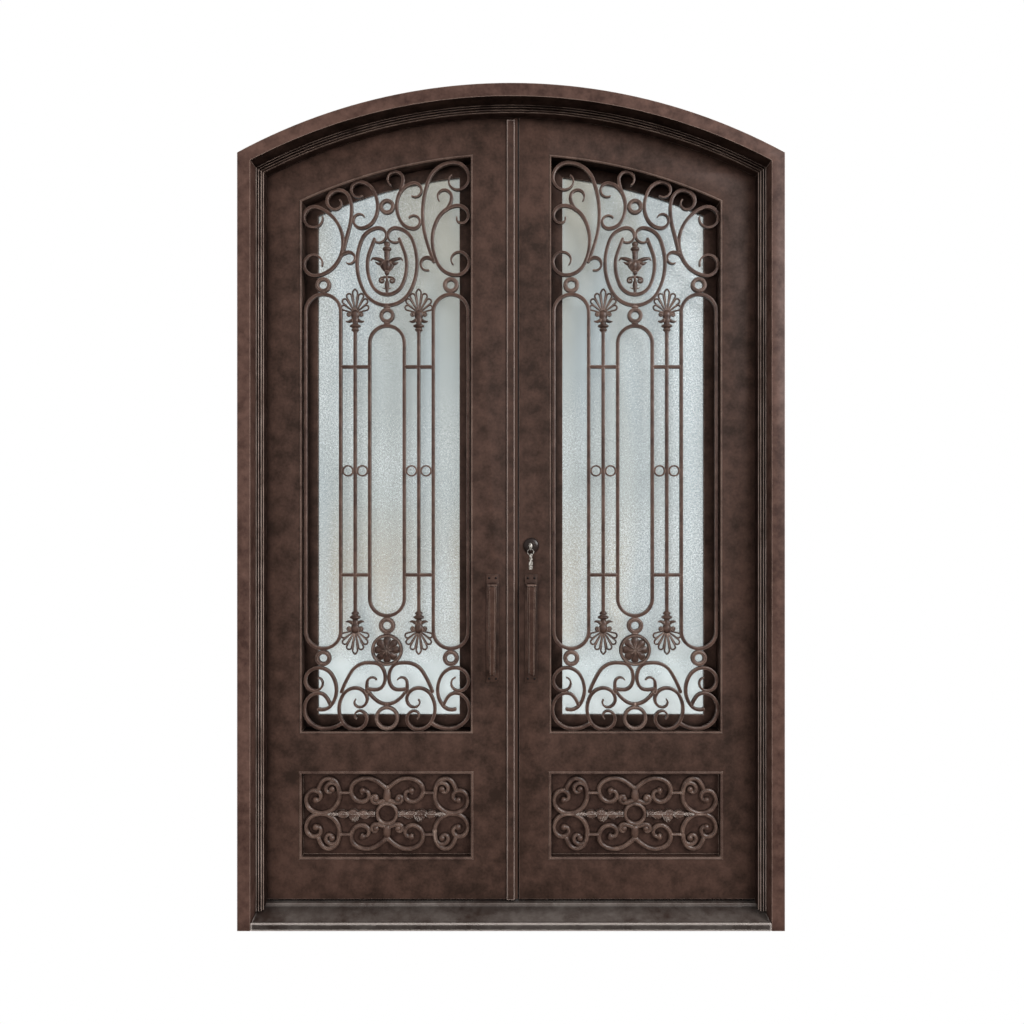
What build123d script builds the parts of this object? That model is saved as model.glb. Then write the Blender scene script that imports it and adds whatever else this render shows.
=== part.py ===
from build123d import *
import os
from math import asin, atan2, cos, degrees, hypot, radians, sin, sqrt

# Arched double door of welded iron, in millimetres. X runs to the right, Y runs into the house, Z runs up.
# The origin is the middle of the underside of the sill, halfway through the depth of the frame.

# Frame
frame_width = 1575.0
frame_height = 2438.0
frame_depth = 152.0
frame_face = 38.0
arch_rise = 200.0
sill_front_height = 22.0
sill_height = 42.0
sill_nose = 12.0
sill_lip_depth = 8.0
sill_lip_height = 8.0

# Ribbed stop moulding that the leaves close against
stop_setback = 52.0
stop_depth = 29.0
stop_reach = 22.0
stop_ribs = 3
rib_height = 3.0
rib_shape = ((0.25, rib_height), (0.75, rib_height), (1, 0))

# Leaves
stop_gap = 5.0
edge_gap = 6.0
sill_gap = 6.0
leaf_thickness = 50.0
meeting_gap = 5.0
meeting_line = 18.0
hinge_stile_width = 118.5
lock_stile_reach = 120.0
arch_rail_width = 125.0
bottom_rail_width = 125.7
kick_height = 247.8
middle_rail_width = 126.9

# Strip and weather seal on the meeting edge of the left leaf
strip_width = 24.0
strip_height = 6.0
seal_depth = 8.0
seal_setback = 3.0
seal_clearance = 0.5

# Kick panel
kick_setback = 21.0
kick_thickness = 6.0
moulding_width = 6.0
moulding_height = 2.5
kick_bar = 10.5
kick_scroll_depth = 12.0

# Grille in the window
grille_setback = 9.0
grille_depth = 12.0
bar_width = 10.0
tip_width = 4.0

# Window sash behind the grille
sash_lap = 12.0
sash_thickness = 16.0
sash_inset = 37.0
glass_thickness = 6.0
glass_grip = 7.0
glass_setback = 5.0

# Hinges on the room side
low_hinge_rise = 282.0
high_hinge_drop = 251.6
middle_hinge_share = 0.5215
barrel_radius = 8.0
pin_radius = 5.0
pin_clearance = 0.3
knuckle_height = 36.0
knuckle_gap = 0.6
wing_thickness = 4.0
wing_width = 26.0

# Pull handles, lock and keys
plate_width = 37.0
plate_height = 322.0
plate_thickness = 4.0
pull_height = 857.0
left_pull_x = 55.0
right_pull_x = 60.0
pull_reach = 52.0
grip_length = 268.0
grip_top = 25.0
grip_foot = 17.0
grip_thickness = 14.0
lock_clearance = 61.0
rose_radius = 24.0
rose_depth = 9.0
thumb_rose_depth = 5.0
thumb_reach = 26.0
thumb_thickness = 8.0
thumb_height = 34.0
key_length = 22.0
key_width = 9.0
key_thickness = 3.0
hanging_length = 55.0

# Worked out from the sizes above
frame_front = -frame_depth / 2
frame_back = frame_depth / 2
half_width = frame_width / 2
arch_radius = (half_width ** 2 + arch_rise ** 2) / (2 * arch_rise)
arch_z = frame_height - arch_radius
jamb_inside = half_width - frame_face
face_radius = arch_radius - frame_face
stop_front = frame_front + stop_setback
stop_back = stop_front + stop_depth
leaf_front = stop_back + stop_gap
leaf_back = leaf_front + leaf_thickness
leaf_edge = jamb_inside - edge_gap
leaf_bottom = sill_height + sill_gap
leaf_radius = face_radius - edge_gap
hole_outer = leaf_edge - hinge_stile_width
hole_inner = lock_stile_reach
hole_width = hole_outer - hole_inner
hole_middle = (hole_outer + hole_inner) / 2
hole_radius = leaf_radius - arch_rail_width
kick_bottom = leaf_bottom + bottom_rail_width
kick_top = kick_bottom + kick_height
hole_bottom = kick_top + middle_rail_width
grille_front = leaf_front + grille_setback
grille_back = grille_front + grille_depth
kick_front = leaf_front + kick_setback
pivot_x = jamb_inside - edge_gap / 2
pivot_y = frame_back + barrel_radius
left_reach = pivot_x + meeting_line - meeting_gap / 2
right_reach = pivot_x - meeting_line - meeting_gap / 2
lock_height = pull_height + plate_height / 2 + lock_clearance + rose_radius


# Drawing helpers: profiles are drawn as seen from outside, x to the right and y upwards

def slab(profile, front, back):
    wall = Plane(origin=(0, back, 0), x_dir=(1, 0, 0), z_dir=(0, -1, 0))
    return extrude(wall * profile, back - front, dir=(0, -1, 0))


def rectangle(x0, x1, z0, z1):
    return Pos((x0 + x1) / 2, (z0 + z1) / 2) * Rectangle(x1 - x0, z1 - z0)


def block(x0, x1, y0, y1, z0, z1):
    return Pos((x0 + x1) / 2, (y0 + y1) / 2, (z0 + z1) / 2) * Box(x1 - x0, y1 - y0, z1 - z0)


def outline(*edges):
    return make_face([edge.edge() for edge in edges])


def polygon(*points):
    return make_face(Polyline(*points, close=True).edges())


def arch_at(x, radius):
    return arch_z + sqrt(radius ** 2 - x ** 2)


def under_arch(x0, x1, z0, radius):
    low, high = (x0, z0), (x1, z0)
    left, right = (x0, arch_at(x0, radius)), (x1, arch_at(x1, radius))
    middle = (x0 + x1) / 2
    top = ThreePointArc(right, (middle, arch_at(middle, radius)), left)
    return outline(Line(left, low), Line(low, high), Line(high, right), top)


def mirrored(part):
    return mirror(part, about=Plane.YZ)


def upright(x, y, radius, z0, z1):
    return Pos(x, y, (z0 + z1) / 2) * Cylinder(radius, z1 - z0)


# Scrolls are chains of tangent arcs, each held as (centre, radius, start angle, sweep), in degrees

def turn(start, heading, radius, sweep):
    side = 1 if sweep > 0 else -1
    cx = start[0] - side * radius * sin(radians(heading))
    cz = start[1] + side * radius * cos(radians(heading))
    first = heading - side * 90
    last = radians(first + sweep)
    end = (cx + radius * cos(last), cz + radius * sin(last))
    return ((cx, cz), radius, first, sweep), end, heading + sweep


def reverse(arcs):
    return [(centre, radius, first + sweep, -sweep) for centre, radius, first, sweep in reversed(arcs)]


def curl(x, z, radius, leave, sweep, shrink):
    # From where the body leaves the curl inwards to its tip; the radius shrinks with each quarter turn
    side = 1 if sweep > 0 else -1
    point = (x + radius * cos(radians(leave)), z + radius * sin(radians(leave)))
    heading = leave + side * 90
    start, start_heading, arcs = point, heading, []
    count = max(1, round(abs(sweep) / 75))
    for i in range(count):
        tightened = radius * shrink ** (i * abs(sweep) / count / 90)
        arc, point, heading = turn(point, heading, tightened, sweep / count)
        arcs.append(arc)
    return start, start_heading, arcs


def arc_to(start, heading, end):
    dx, dz = end[0] - start[0], end[1] - start[1]
    half = (degrees(atan2(dz, dx)) - heading + 180) % 360 - 180
    if abs(half) < 0.25:
        half = 0.25
    return turn(start, heading, hypot(dx, dz) / (2 * sin(radians(abs(half)))), 2 * half)[0]


def biarc(start, heading, end, end_heading):
    # Two arcs that meet smoothly, from one point and heading to another
    ux, uz = cos(radians(heading)), sin(radians(heading))
    vx, vz = cos(radians(end_heading)), sin(radians(end_heading))
    dx, dz = end[0] - start[0], end[1] - start[1]
    along = dx * (ux + vx) + dz * (uz + vz)
    bend = 2 * (1 - ux * vx - uz * vz)
    if bend < 1e-6:
        reach = (dx ** 2 + dz ** 2) / (2 * along)
    else:
        reach = (sqrt(along ** 2 + bend * (dx ** 2 + dz ** 2)) - along) / bend
    joint = ((start[0] + end[0] + reach * (ux - vx)) / 2, (start[1] + end[1] + reach * (uz - vz)) / 2)
    return [arc_to(start, heading, joint)] + reverse([arc_to(end, end_heading + 180, joint)])


def scroll(start, *rest):
    # Ends are curls, or (x, z, heading) points; the points between have a heading too
    *via, end = rest
    arcs, inner_end = [], []
    if len(start) > 3:
        point, heading, inner_start = curl(*start)
        arcs, heading = reverse(inner_start), heading + 180
    else:
        point, heading = start[:2], start[2]
    if len(end) > 3:
        place, end_heading, inner_end = curl(*end)
        end = (*place, end_heading)
    for x, z, next_heading in (*via, end):
        arcs += biarc(point, heading, (x, z), next_heading)
        point, heading = (x, z), next_heading
    return arcs + inner_end


def beside(arc, share, offset):
    # Point at a share of the arc's sweep, offset to the left of the way it runs
    (cx, cz), radius, first, sweep = arc
    angle = radians(first + sweep * share)
    distance = radius - offset if sweep > 0 else radius + offset
    return (cx + distance * cos(angle), cz + distance * sin(angle))


def flat_bar(arcs, width, first_width=None, last_width=None):
    # It narrows over its first or last three arcs where an end width is given
    count = len(arcs)
    half = [width / 2] * (count + 1)
    for i in range(3):
        if first_width:
            half[i] = (first_width + (width - first_width) * i / 3) / 2
        if last_width:
            half[count - i] = (last_width + (width - last_width) * i / 3) / 2
    edges = []
    for side in (1, -1):
        for i, arc in enumerate(arcs):
            near, far = side * half[i], side * half[i + 1]
            points = beside(arc, 0, near), beside(arc, 0.5, (near + far) / 2), beside(arc, 1, far)
            edges.append(ThreePointArc(*points))
    edges.append(Line(beside(arcs[0], 0, half[0]), beside(arcs[0], 0, -half[0])))
    edges.append(Line(beside(arcs[-1], 1, half[-1]), beside(arcs[-1], 1, -half[-1])))
    return outline(*edges)


def ring(x, z, outside, inside):
    return Pos(x, z) * (Circle(outside / 2) - Circle(inside / 2))


def loop(x, half, bottom, top):
    tall = top - bottom
    outer = SlotOverall(tall + bar_width, 2 * half + bar_width, rotation=90)
    inner = SlotOverall(tall - bar_width, 2 * half - bar_width, rotation=90)
    return Pos(x, (bottom + top) / 2) * (outer - inner)


def fused(profiles):
    return profiles[0] + profiles[1:]


def both_sides(profiles):
    return profiles + [mirror(profile, about=Plane.YZ) for profile in profiles]


# The ornament is drawn for a window of this size: x from its middle, z from the underside of the sill.
# It grows with the width of the window; its upper part hangs from the crown and its lower part stands on the foot

drawn_width, drawn_crown, drawn_foot = 505.0, 2221.4, 548.4
drawn_kick_middle, drawn_kick_height = 297.6, 247.8
unit = hole_width / drawn_width
kick_unit = min(unit, kick_height / drawn_kick_height)
window_crown = arch_at(hole_middle, hole_radius)
kick_middle = (kick_bottom + kick_top) / 2


def from_crown(z):
    return window_crown + (z - drawn_crown) * unit


def from_foot(z):
    return hole_bottom + (z - drawn_foot) * unit


def from_kick_middle(z):
    return kick_middle + (z - drawn_kick_middle) * kick_unit


def fitted(points, height, growth):
    # Curls have a radius after their place; plain points have only a heading
    placed = []
    for x, z, *rest in points:
        if len(rest) > 1:
            rest[0] *= growth
        placed.append((x * growth, height(z), *rest))
    return placed


loop_bottom, loop_top, loop_half = from_foot(892.0), from_crown(1763.0), 52.0 * unit
side_bottom, side_top = from_foot(793.5), from_crown(1857.5)
side_half, side_x = 52.5 * unit, 191.5 * unit
rod_bottom, rod_top, rod_x = from_foot(900.0), from_crown(1750.0), 95.5 * unit
cross_heights = (from_foot(1014.8), from_crown(1639.5))
small_ring_height = (loop_bottom + loop_top) / 2
small_ring_wall = 4.4
petal_radius, petal_rim = 7.5, 3.9
ring_hole = 23.0
rosette_height, rosette_width = from_foot(789.5), 96.0
high_shell, low_shell, drop_height = from_crown(1802.0), from_foot(848.0), from_crown(1985.0)

# Rings are held as (x, z, outside, hole)
top_rings = ((0, 2121, 49, ring_hole), (0, 1793.8, 52.5, ring_hole),
             (-191.5, 1885.5, 48, ring_hole), (191.5, 1885.5, 48, ring_hole))
bottom_rings = ((0, 862.5, 50, ring_hole), (0, 585, 74, 52),
                (-191.5, 765, 49, ring_hole), (191.5, 765, 49, ring_hole))
top_scrolls = (
    ((-217, 2087, 33, 70, 300, 0.92), (-132, 2012, -90), (-215, 1947, 34, -80, -300, 0.88)),
    ((-145, 2135, 35, 80, 330, 0.74), (-106, 2114, -90), (-130, 1991, -103)),
    ((-138, 1972, 70), (-115, 1965, 19, 110, -230, 0.9)),
    ((-81, 2169, 26, 80, 230, 0.85), (-28, 2120, -90), (-77, 2080, 24, -80, -250, 0.82)),
    ((25, 2201, 24, -5, 240, 0.95), (29, 2123, -90), (79, 2075, 20, -90, 230, 0.95)),
    ((41, 2165, 60), (82, 2169, 22, 100, -220, 0.92)),
    ((141, 1955, 113), (107, 2099, 90), (199, 2205, 48, 95, -330, 0.75)),
    ((212, 2090, 34, 100, -300, 0.68), (136, 2021, -90), (207, 1955, 40, -95, 320, 0.78)),
    ((177, 2110, 50), (172, 2149, 22, 0, 220, 0.92)),
    ((141, 1961, 165), (121, 1948, 20, 100, 190, 0.95)),
)
oval_scrolls = (
    ((-25, 2034, 23, 95, -240, 0.95), (-90, 1949, -90), (0, 1824.5, 0)),
    ((-37, 2024, -112), (-59, 1946, -90), (0, 1857, 0)),
)
bottom_scrolls = (
    ((-205, 695, 41, 85, 350, 0.76), (-152, 669, -90), (-206, 612, 160)),
    ((-170, 624, 110), (-206, 660, 180), (-248, 612, -90), (-186, 553, 0), (-132, 572, 38)),
    ((-94, 585, 34, -90, 330, 0.66), (-144, 612, 90), (-95, 639, 36, 95, -320, 0.67)),
    ((-137, 663, 70), (-57, 751, 0), (-17, 737, -48), (-11, 708, -90), (-36, 670, 180), (-59, 673, 160)),
    ((-60, 663, 90), (-44, 691, 16, 170, -140, 0.9)),
    ((-53, 660, -55), (0, 627, 0)),
)
kick_scrolls = (
    ((-214, 338, 30, 190, -340, 0.66), (-198, 298, 0), (-143, 353, 90), (-176, 403, 180), (-206, 371, -105)),
    ((-143, 347, 91), (-165, 371, 18.5, 90, 300, 0.6)),
    ((-3, 373, 135), (-62, 404, 180), (-73, 367, 35, 180, 350, 0.62)),
    ((-9, 336, 195), (-33, 342, 12, -100, -300, 0.7)),
)


def scroll_bar(points, width):
    # Ends that curl are drawn out thin; plain ends keep their width, for welding to the next bar
    first = tip_width if len(points[0]) > 3 else None
    last = tip_width if len(points[-1]) > 3 else None
    return flat_bar(scroll(*points), width, first, last)


def bars_profile():
    middle = loop(0, loop_half, loop_bottom, loop_top)
    pair = [loop(-side_x, side_half, side_bottom, side_top)]
    pair.append(rectangle(-rod_x - bar_width / 2, -rod_x + bar_width / 2, rod_bottom, rod_top))
    for z in cross_heights:
        pair.append(rectangle(side_half - side_x, -loop_half, z - bar_width / 2, z + bar_width / 2))
    for inner, outer in ((loop_half, rod_x), (rod_x, side_x - side_half)):
        across = outer - inner - bar_width + 1
        pair.append(ring(-(inner + outer) / 2, small_ring_height, across, across - 2 * small_ring_wall))
    return fused([middle] + both_sides(pair))


def scrollwork(scrolls, height):
    return [scroll_bar(fitted(points, height, unit), bar_width) for points in scrolls]


def fitted_rings(rings, height):
    return [ring(x * unit, height(z), outside * unit, hole * unit) for x, z, outside, hole in rings]


def top_profile():
    pieces = scrollwork(top_scrolls, from_crown) + both_sides(scrollwork(oval_scrolls, from_crown))
    return fused(pieces + fitted_rings(top_rings, from_crown))


def bottom_profile():
    pieces = both_sides(scrollwork(bottom_scrolls, from_foot))
    return fused(pieces + fitted_rings(bottom_rings, from_foot))


def petal(length, radius):
    # Teardrop that widens from its root to a round end
    reach = length - radius
    lean = asin(radius / reach)
    side = radius * cos(lean)
    tangent = reach - radius * sin(lean)
    end = ThreePointArc((-side, tangent), (0, length), (side, tangent))
    return outline(Line((0, 0), (-side, tangent)), end, Line((side, tangent), (0, 0)))


def shell():
    # Open petals over a capital with two volutes, leaves and collars; the root of the petals is at the origin
    pieces = []
    for angle, length in ((0, 70), (23, 60), (44, 51), (64, 42)):
        for side in ((1, -1) if angle else (1,)):
            open_petal = petal(length, petal_radius) - Pos(0, 16) * petal(length - 20, petal_radius - petal_rim)
            pieces.append(Rot(0, 0, side * angle) * open_petal)
    pieces.append(rectangle(-11, 11, -27, 4))
    pieces += [Pos(side * 17, -6) * Circle(9) for side in (-1, 1)]
    pieces.append(rectangle(-28, 28, -30, -26))
    pieces.append(polygon((-8, -28), (-14, -38), (-8, -47), (8, -47), (14, -38), (8, -28)))
    pieces.append(rectangle(-9, 9, -57, -49))
    pieces.append(rectangle(-5, 5, -60, -46))
    return fused(pieces)


def rosette():
    flower = [ring(0, 0, rosette_width, rosette_width - 2 * bar_width), Circle(13)]
    for i in range(8):
        flower.append(Rot(0, 0, 45 * i) * Pos(0, 26) * Ellipse(9, 15))
    return fused(flower)


def drop():
    # Casting that hangs inside the oval; its collar is at the origin
    pieces = [rectangle(-8, 8, 0, 27), rectangle(-4, 4, -133, 5)]
    pieces += [Pos(0, -33) * Ellipse(17, 30), Pos(0, -63) * Circle(8)]
    for side in (-1, 1):
        pieces.append(Pos(side * 26, -23) * Rot(0, 0, side * 18) * Ellipse(24, 5))
        pieces.append(Pos(side * 13, -85) * Circle(9))
    return fused(pieces)


def castings_profile():
    pieces = [Pos(0, rosette_height) * scale(rosette(), unit), Pos(0, drop_height) * scale(drop(), unit)]
    for side in (-1, 1):
        pieces.append(Pos(side * rod_x, high_shell) * scale(shell(), unit))
        pieces.append(Pos(side * rod_x, low_shell) * Rot(0, 0, 180) * scale(shell(), unit))
    return pieces


# Pieces of the frame

def jamb():
    profile = polygon((jamb_inside, 0), (half_width, 0), (half_width, arch_at(half_width, arch_radius)),
                      (jamb_inside, arch_at(jamb_inside, face_radius)))
    return slab(profile, frame_front, frame_back)


def arch_head():
    tops = [(x, arch_at(x, arch_radius)) for x in (-half_width, 0, half_width)]
    lows = [(x, arch_at(x, face_radius)) for x in (jamb_inside, 0, -jamb_inside)]
    profile = outline(ThreePointArc(*tops), Line(tops[2], lows[0]), ThreePointArc(*lows), Line(lows[2], tops[0]))
    return slab(profile, frame_front, frame_back)


def threshold():
    # Slopes up to a lip in front of the leaves
    lip_front = stop_back - sill_lip_depth
    profile = polygon((frame_front, 0), (frame_front, sill_front_height), (frame_front + sill_nose, sill_front_height),
                      (lip_front, sill_height - sill_lip_height), (lip_front, sill_height),
                      (frame_back, sill_height), (frame_back, 0))
    plane = Plane(origin=(-jamb_inside, 0, 0), x_dir=(0, 1, 0), z_dir=(1, 0, 0))
    return extrude(plane * profile, 2 * jamb_inside, dir=(1, 0, 0))


def stop_section():
    # Reach from the jamb along x and depth along y, with chamfered ribs on the outside face
    pitch = stop_reach / stop_ribs
    points = [(stop_reach, stop_depth), (0, stop_depth), (0, 0)]
    for i in range(stop_ribs):
        points += [((i + share) * pitch, -height) for share, height in rib_shape]
    return polygon(*points)


def above_mitres():
    # Everything over the two cuts where the straight stops meet the arched one
    inner = jamb_inside - stop_reach
    low = arch_at(inner, face_radius - stop_reach)
    slope = (arch_at(jamb_inside, face_radius) - low) / stop_reach
    edge = jamb_inside + 1
    high = low + slope * (edge - inner)
    profile = polygon((-edge, high), (0, low - slope * inner), (edge, high),
                      (edge, frame_height), (-edge, frame_height))
    return slab(profile, stop_front - 2 * rib_height, stop_back + 1)


def side_stop():
    plane = Plane(origin=(jamb_inside, stop_front, 0), x_dir=(-1, 0, 0), z_dir=(0, 0, -1))
    rod = extrude(plane * stop_section(), arch_at(jamb_inside, face_radius), dir=(0, 0, 1))
    return rod - threshold() - above_mitres()


def head_stop():
    plane = Plane(origin=(0, stop_front, arch_z + face_radius), x_dir=(0, 0, -1), z_dir=(1, 0, 0))
    axis = Axis((0, stop_front, arch_z), (0, 1, 0))
    span = degrees(asin(jamb_inside / face_radius)) + 1
    band = revolve((plane * stop_section()).rotate(axis, -span), axis, 2 * span)
    return band & above_mitres()


def frame_hinge(z):
    # Two knuckles with the pin between them, and a wing welded to the back of the jamb
    top, bottom = z + knuckle_height * 1.5, z - knuckle_height * 1.5
    middle = (z - knuckle_height / 2, z + knuckle_height / 2)
    hinge = upright(pivot_x, pivot_y, pin_radius, bottom, top)
    for low, high in ((bottom, middle[0]), (middle[1], top)):
        hinge += upright(pivot_x, pivot_y, barrel_radius, low, high)
        hinge += block(pivot_x, jamb_inside + wing_width, frame_back, frame_back + wing_thickness, low, high)
    return hinge


def leaf_hinge(z):
    # One knuckle that turns on the pin, with a web and a wing on the back of the leaf
    low, high = z - knuckle_height / 2 + knuckle_gap, z + knuckle_height / 2 - knuckle_gap
    web = block(pivot_x - barrel_radius - wing_thickness, pivot_x - barrel_radius / 2, leaf_back, pivot_y, low, high)
    wing = block(pivot_x - barrel_radius - wing_width, pivot_x - barrel_radius, leaf_back,
                 leaf_back + wing_thickness, low, high)
    knuckle = upright(pivot_x, pivot_y, barrel_radius, low, high)
    return knuckle + web + wing - upright(pivot_x, pivot_y, pin_radius + pin_clearance, low, high)


def hinge_heights():
    low = leaf_bottom + low_hinge_rise
    high = arch_at(leaf_edge, leaf_radius) - high_hinge_drop
    return low, low + middle_hinge_share * (high - low), high


# Pieces of a leaf, drawn for the right leaf

def hinge_stile():
    return slab(under_arch(hole_outer, leaf_edge, leaf_bottom, leaf_radius), leaf_front, leaf_back)


def lock_stile(reach):
    profile = under_arch(pivot_x - reach, hole_inner, leaf_bottom, leaf_radius)
    return slab(profile, leaf_front, leaf_back) & upright(pivot_x, pivot_y, reach, 0, frame_height)


def top_rail():
    bottom = [(x, arch_at(x, hole_radius)) for x in (hole_inner, hole_middle, hole_outer)]
    top = [(x, arch_at(x, leaf_radius)) for x in (hole_outer, hole_middle, hole_inner)]
    profile = outline(ThreePointArc(*bottom), Line(bottom[2], top[0]), ThreePointArc(*top), Line(top[2], bottom[0]))
    return slab(profile, leaf_front, leaf_back)


def rail(z0, z1):
    return block(hole_inner, hole_outer, leaf_front, leaf_back, z0, z1)


def kick_panel():
    return block(hole_inner, hole_outer, kick_front, kick_front + kick_thickness, kick_bottom, kick_top)


def in_window(profile):
    # The window of the left leaf, drawn from its middle, lands mirrored on the right leaf
    return Pos(hole_middle, 0) * mirror(profile, about=Plane.YZ)


def window_profile(inset):
    return under_arch(hole_inner + inset, hole_outer - inset, hole_bottom + inset, hole_radius - inset)


def kick_outline(outset):
    return rectangle(hole_inner - outset, hole_outer + outset, kick_bottom - outset, kick_top + outset)


def front_mouldings():
    # Raised beads round the window and round the kick panel's recess
    window = window_profile(-moulding_width) - window_profile(0)
    kick = kick_outline(moulding_width) - kick_outline(0)
    return slab(window + kick, leaf_front - moulding_height, leaf_front)


def window_sash():
    front, back = leaf_back, leaf_back + sash_thickness
    frame = slab(window_profile(-sash_lap) - window_profile(sash_inset), front, back)
    return frame - window_glass()


def window_glass():
    front = leaf_back + glass_setback
    return slab(window_profile(sash_inset - glass_grip), front, front + glass_thickness)


def kick_profile():
    # One corner of the ornament, repeated up and down and from side to side round the middle ring
    corner = [scroll_bar(fitted(points, from_kick_middle, kick_unit), kick_bar) for points in kick_scrolls]
    tie = (-144 * kick_unit, -110 * kick_unit, from_kick_middle(354.6), from_kick_middle(365.6))
    corner = [Pos(0, -kick_middle) * piece for piece in corner + [rectangle(*tie)]]
    half = corner + [mirror(profile, about=Plane.XZ) for profile in corner]
    middle_ring = ring(0, 0, 69 * kick_unit, 49 * kick_unit)
    return Pos(0, kick_middle) * fused(both_sides(half) + [middle_ring])


def pull_handle(x, face, outwards):
    # Back plate and a tapered grip that stands off it, on either face of the leaf
    def between(near, far):
        return sorted((face + outwards * near, face + outwards * far))
    low, high = pull_height - grip_length / 2, pull_height + grip_length / 2
    plate = rectangle(x - plate_width / 2, x + plate_width / 2,
                      pull_height - plate_height / 2, pull_height + plate_height / 2)
    grip = polygon((x - grip_foot / 2, low), (x + grip_foot / 2, low),
                   (x + grip_top / 2, high), (x - grip_top / 2, high))
    ends = grip - rectangle(x - grip_top, x + grip_top, low + grip_thickness, high - grip_thickness)
    handle = slab(plate, *between(0, plate_thickness))
    handle += slab(grip, *between(pull_reach - grip_thickness, pull_reach))
    return handle + slab(ends, *between(0, pull_reach))


def pull_pair(x):
    return pull_handle(x, leaf_front, -1) + pull_handle(x, leaf_back, 1)


def deadbolt():
    # Domed rose outside, thumb turn inside
    outside = Plane(origin=(right_pull_x, leaf_front, lock_height), x_dir=(1, 0, 0), z_dir=(0, -1, 0))
    inside = Plane(origin=(right_pull_x, leaf_back, lock_height), x_dir=(1, 0, 0), z_dir=(0, 1, 0))
    rose = extrude(outside * Circle(rose_radius), rose_depth, taper=35)
    back_rose = extrude(inside * Circle(rose_radius), thumb_rose_depth)
    turn_piece = block(right_pull_x - thumb_thickness / 2, right_pull_x + thumb_thickness / 2, leaf_back,
                       leaf_back + thumb_reach, lock_height - thumb_height / 2, lock_height + thumb_height / 2)
    return rose + (back_rose + turn_piece)


def keys():
    # A key in the lock, with a second one hanging from its ring
    front = leaf_front - rose_depth
    bow = front - key_length
    blade = block(right_pull_x - key_thickness / 2, right_pull_x + key_thickness / 2, bow, front,
                  lock_height - key_width / 2, lock_height + key_width / 2)
    hanging = block(right_pull_x - key_width / 2, right_pull_x + key_width / 2, bow, bow + key_thickness,
                    lock_height - key_width / 2 - hanging_length, lock_height - key_width / 2)
    return blade + hanging


def meeting_strip():
    # Its free edge is flush with the rounded meeting edge of the left leaf
    edge = pivot_x - sqrt(left_reach ** 2 - (pivot_y - leaf_front + strip_height) ** 2)
    profile = under_arch(edge, edge + strip_width, leaf_bottom, face_radius - stop_reach - stop_gap)
    return slab(profile, leaf_front - strip_height, leaf_front)


def meeting_seal():
    # Soft strip that fills the gap between the rounded meeting edges
    outer = left_reach + meeting_gap - seal_clearance
    front = leaf_front + seal_setback
    tall = (leaf_bottom, arch_at(meeting_line, leaf_radius))
    sleeve = upright(pivot_x, pivot_y, outer, *tall) - upright(pivot_x, pivot_y, left_reach, *tall)
    return sleeve & block(-2 * meeting_line, 0, front, front + seal_depth, *tall)


def leaf_pieces():
    # What both leaves have, as it lies on the right leaf
    hole = window_profile(0)
    castings = slab(in_window(fused(castings_profile())), grille_front, grille_back)
    bars = slab(in_window(bars_profile()) & hole, grille_front, grille_back) - castings
    carried = castings + bars
    top = slab(in_window(top_profile()) & hole, grille_front, grille_back) - carried
    bottom = slab(in_window(bottom_profile()) & hole, grille_front, grille_back) - carried
    return {
        "hinge_stile": hinge_stile(),
        "top_rail": top_rail(),
        "middle_rail": rail(kick_top, hole_bottom),
        "bottom_rail": rail(leaf_bottom, kick_bottom),
        "kick_panel": kick_panel(),
        "kick_scrolls": slab(in_window(kick_profile()), kick_front - kick_scroll_depth, kick_front),
        "front_mouldings": front_mouldings(),
        "window_sash": window_sash(),
        "window_glass": window_glass(),
        "grille_castings": castings,
        "grille_bars": bars,
        "grille_top_scrolls": top,
        "grille_bottom_scrolls": bottom,
        "leaf_hinges": fused([leaf_hinge(z) for z in hinge_heights()]),
    }


def door():
    hinges = fused([frame_hinge(z) for z in hinge_heights()])
    pieces = {
        "left_jamb": mirrored(jamb()),
        "right_jamb": jamb(),
        "arch_head": arch_head(),
        "threshold": threshold(),
        "left_stop_moulding": mirrored(side_stop()),
        "right_stop_moulding": side_stop(),
        "head_stop_moulding": head_stop(),
        "left_frame_hinges": mirrored(hinges),
        "right_frame_hinges": hinges,
    }
    for name, piece in leaf_pieces().items():
        pieces["left_" + name] = mirrored(piece)
        pieces["right_" + name] = piece
    pieces["left_lock_stile"] = mirrored(lock_stile(left_reach))
    pieces["right_lock_stile"] = lock_stile(right_reach)
    pieces["left_meeting_strip"] = mirrored(meeting_strip())
    pieces["left_meeting_seal"] = mirrored(meeting_seal())
    pieces["left_pulls"] = mirrored(pull_pair(left_pull_x))
    pieces["right_pulls"] = pull_pair(right_pull_x)
    pieces["deadbolt"] = deadbolt()
    pieces["keys"] = keys()
    return pieces


os.makedirs("parts", exist_ok=True)
for name, piece in door().items():
    export_step(piece, f"parts/{name}.step")
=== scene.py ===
"""Finishes an arched pair of iron doors: scrollwork, castings, hand-rubbed paint, textured glass and hardware."""

from math import asin, atan2, ceil, cos, degrees, exp, hypot, inf, pi, radians, sin, sqrt

import bmesh
import bpy
from bpy.props import FloatProperty, FloatVectorProperty, PointerProperty
from mathutils import Matrix, Vector


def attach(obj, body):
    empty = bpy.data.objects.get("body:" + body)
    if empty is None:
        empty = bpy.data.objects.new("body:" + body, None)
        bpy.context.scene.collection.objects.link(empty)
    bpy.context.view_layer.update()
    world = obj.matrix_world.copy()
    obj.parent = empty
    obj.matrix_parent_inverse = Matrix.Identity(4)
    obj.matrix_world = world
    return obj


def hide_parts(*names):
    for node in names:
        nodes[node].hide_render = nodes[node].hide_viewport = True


bl_info = {
    "name": "Arched Iron Door",
    "version": (1, 0, 0),
    "blender": (4, 5, 0),
    "location": "View3D > Sidebar > Iron Door",
    "description": "Builds the grilles, castings, hardware and finishes of an arched pair of iron doors",
    "category": "Add Mesh",
}

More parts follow.
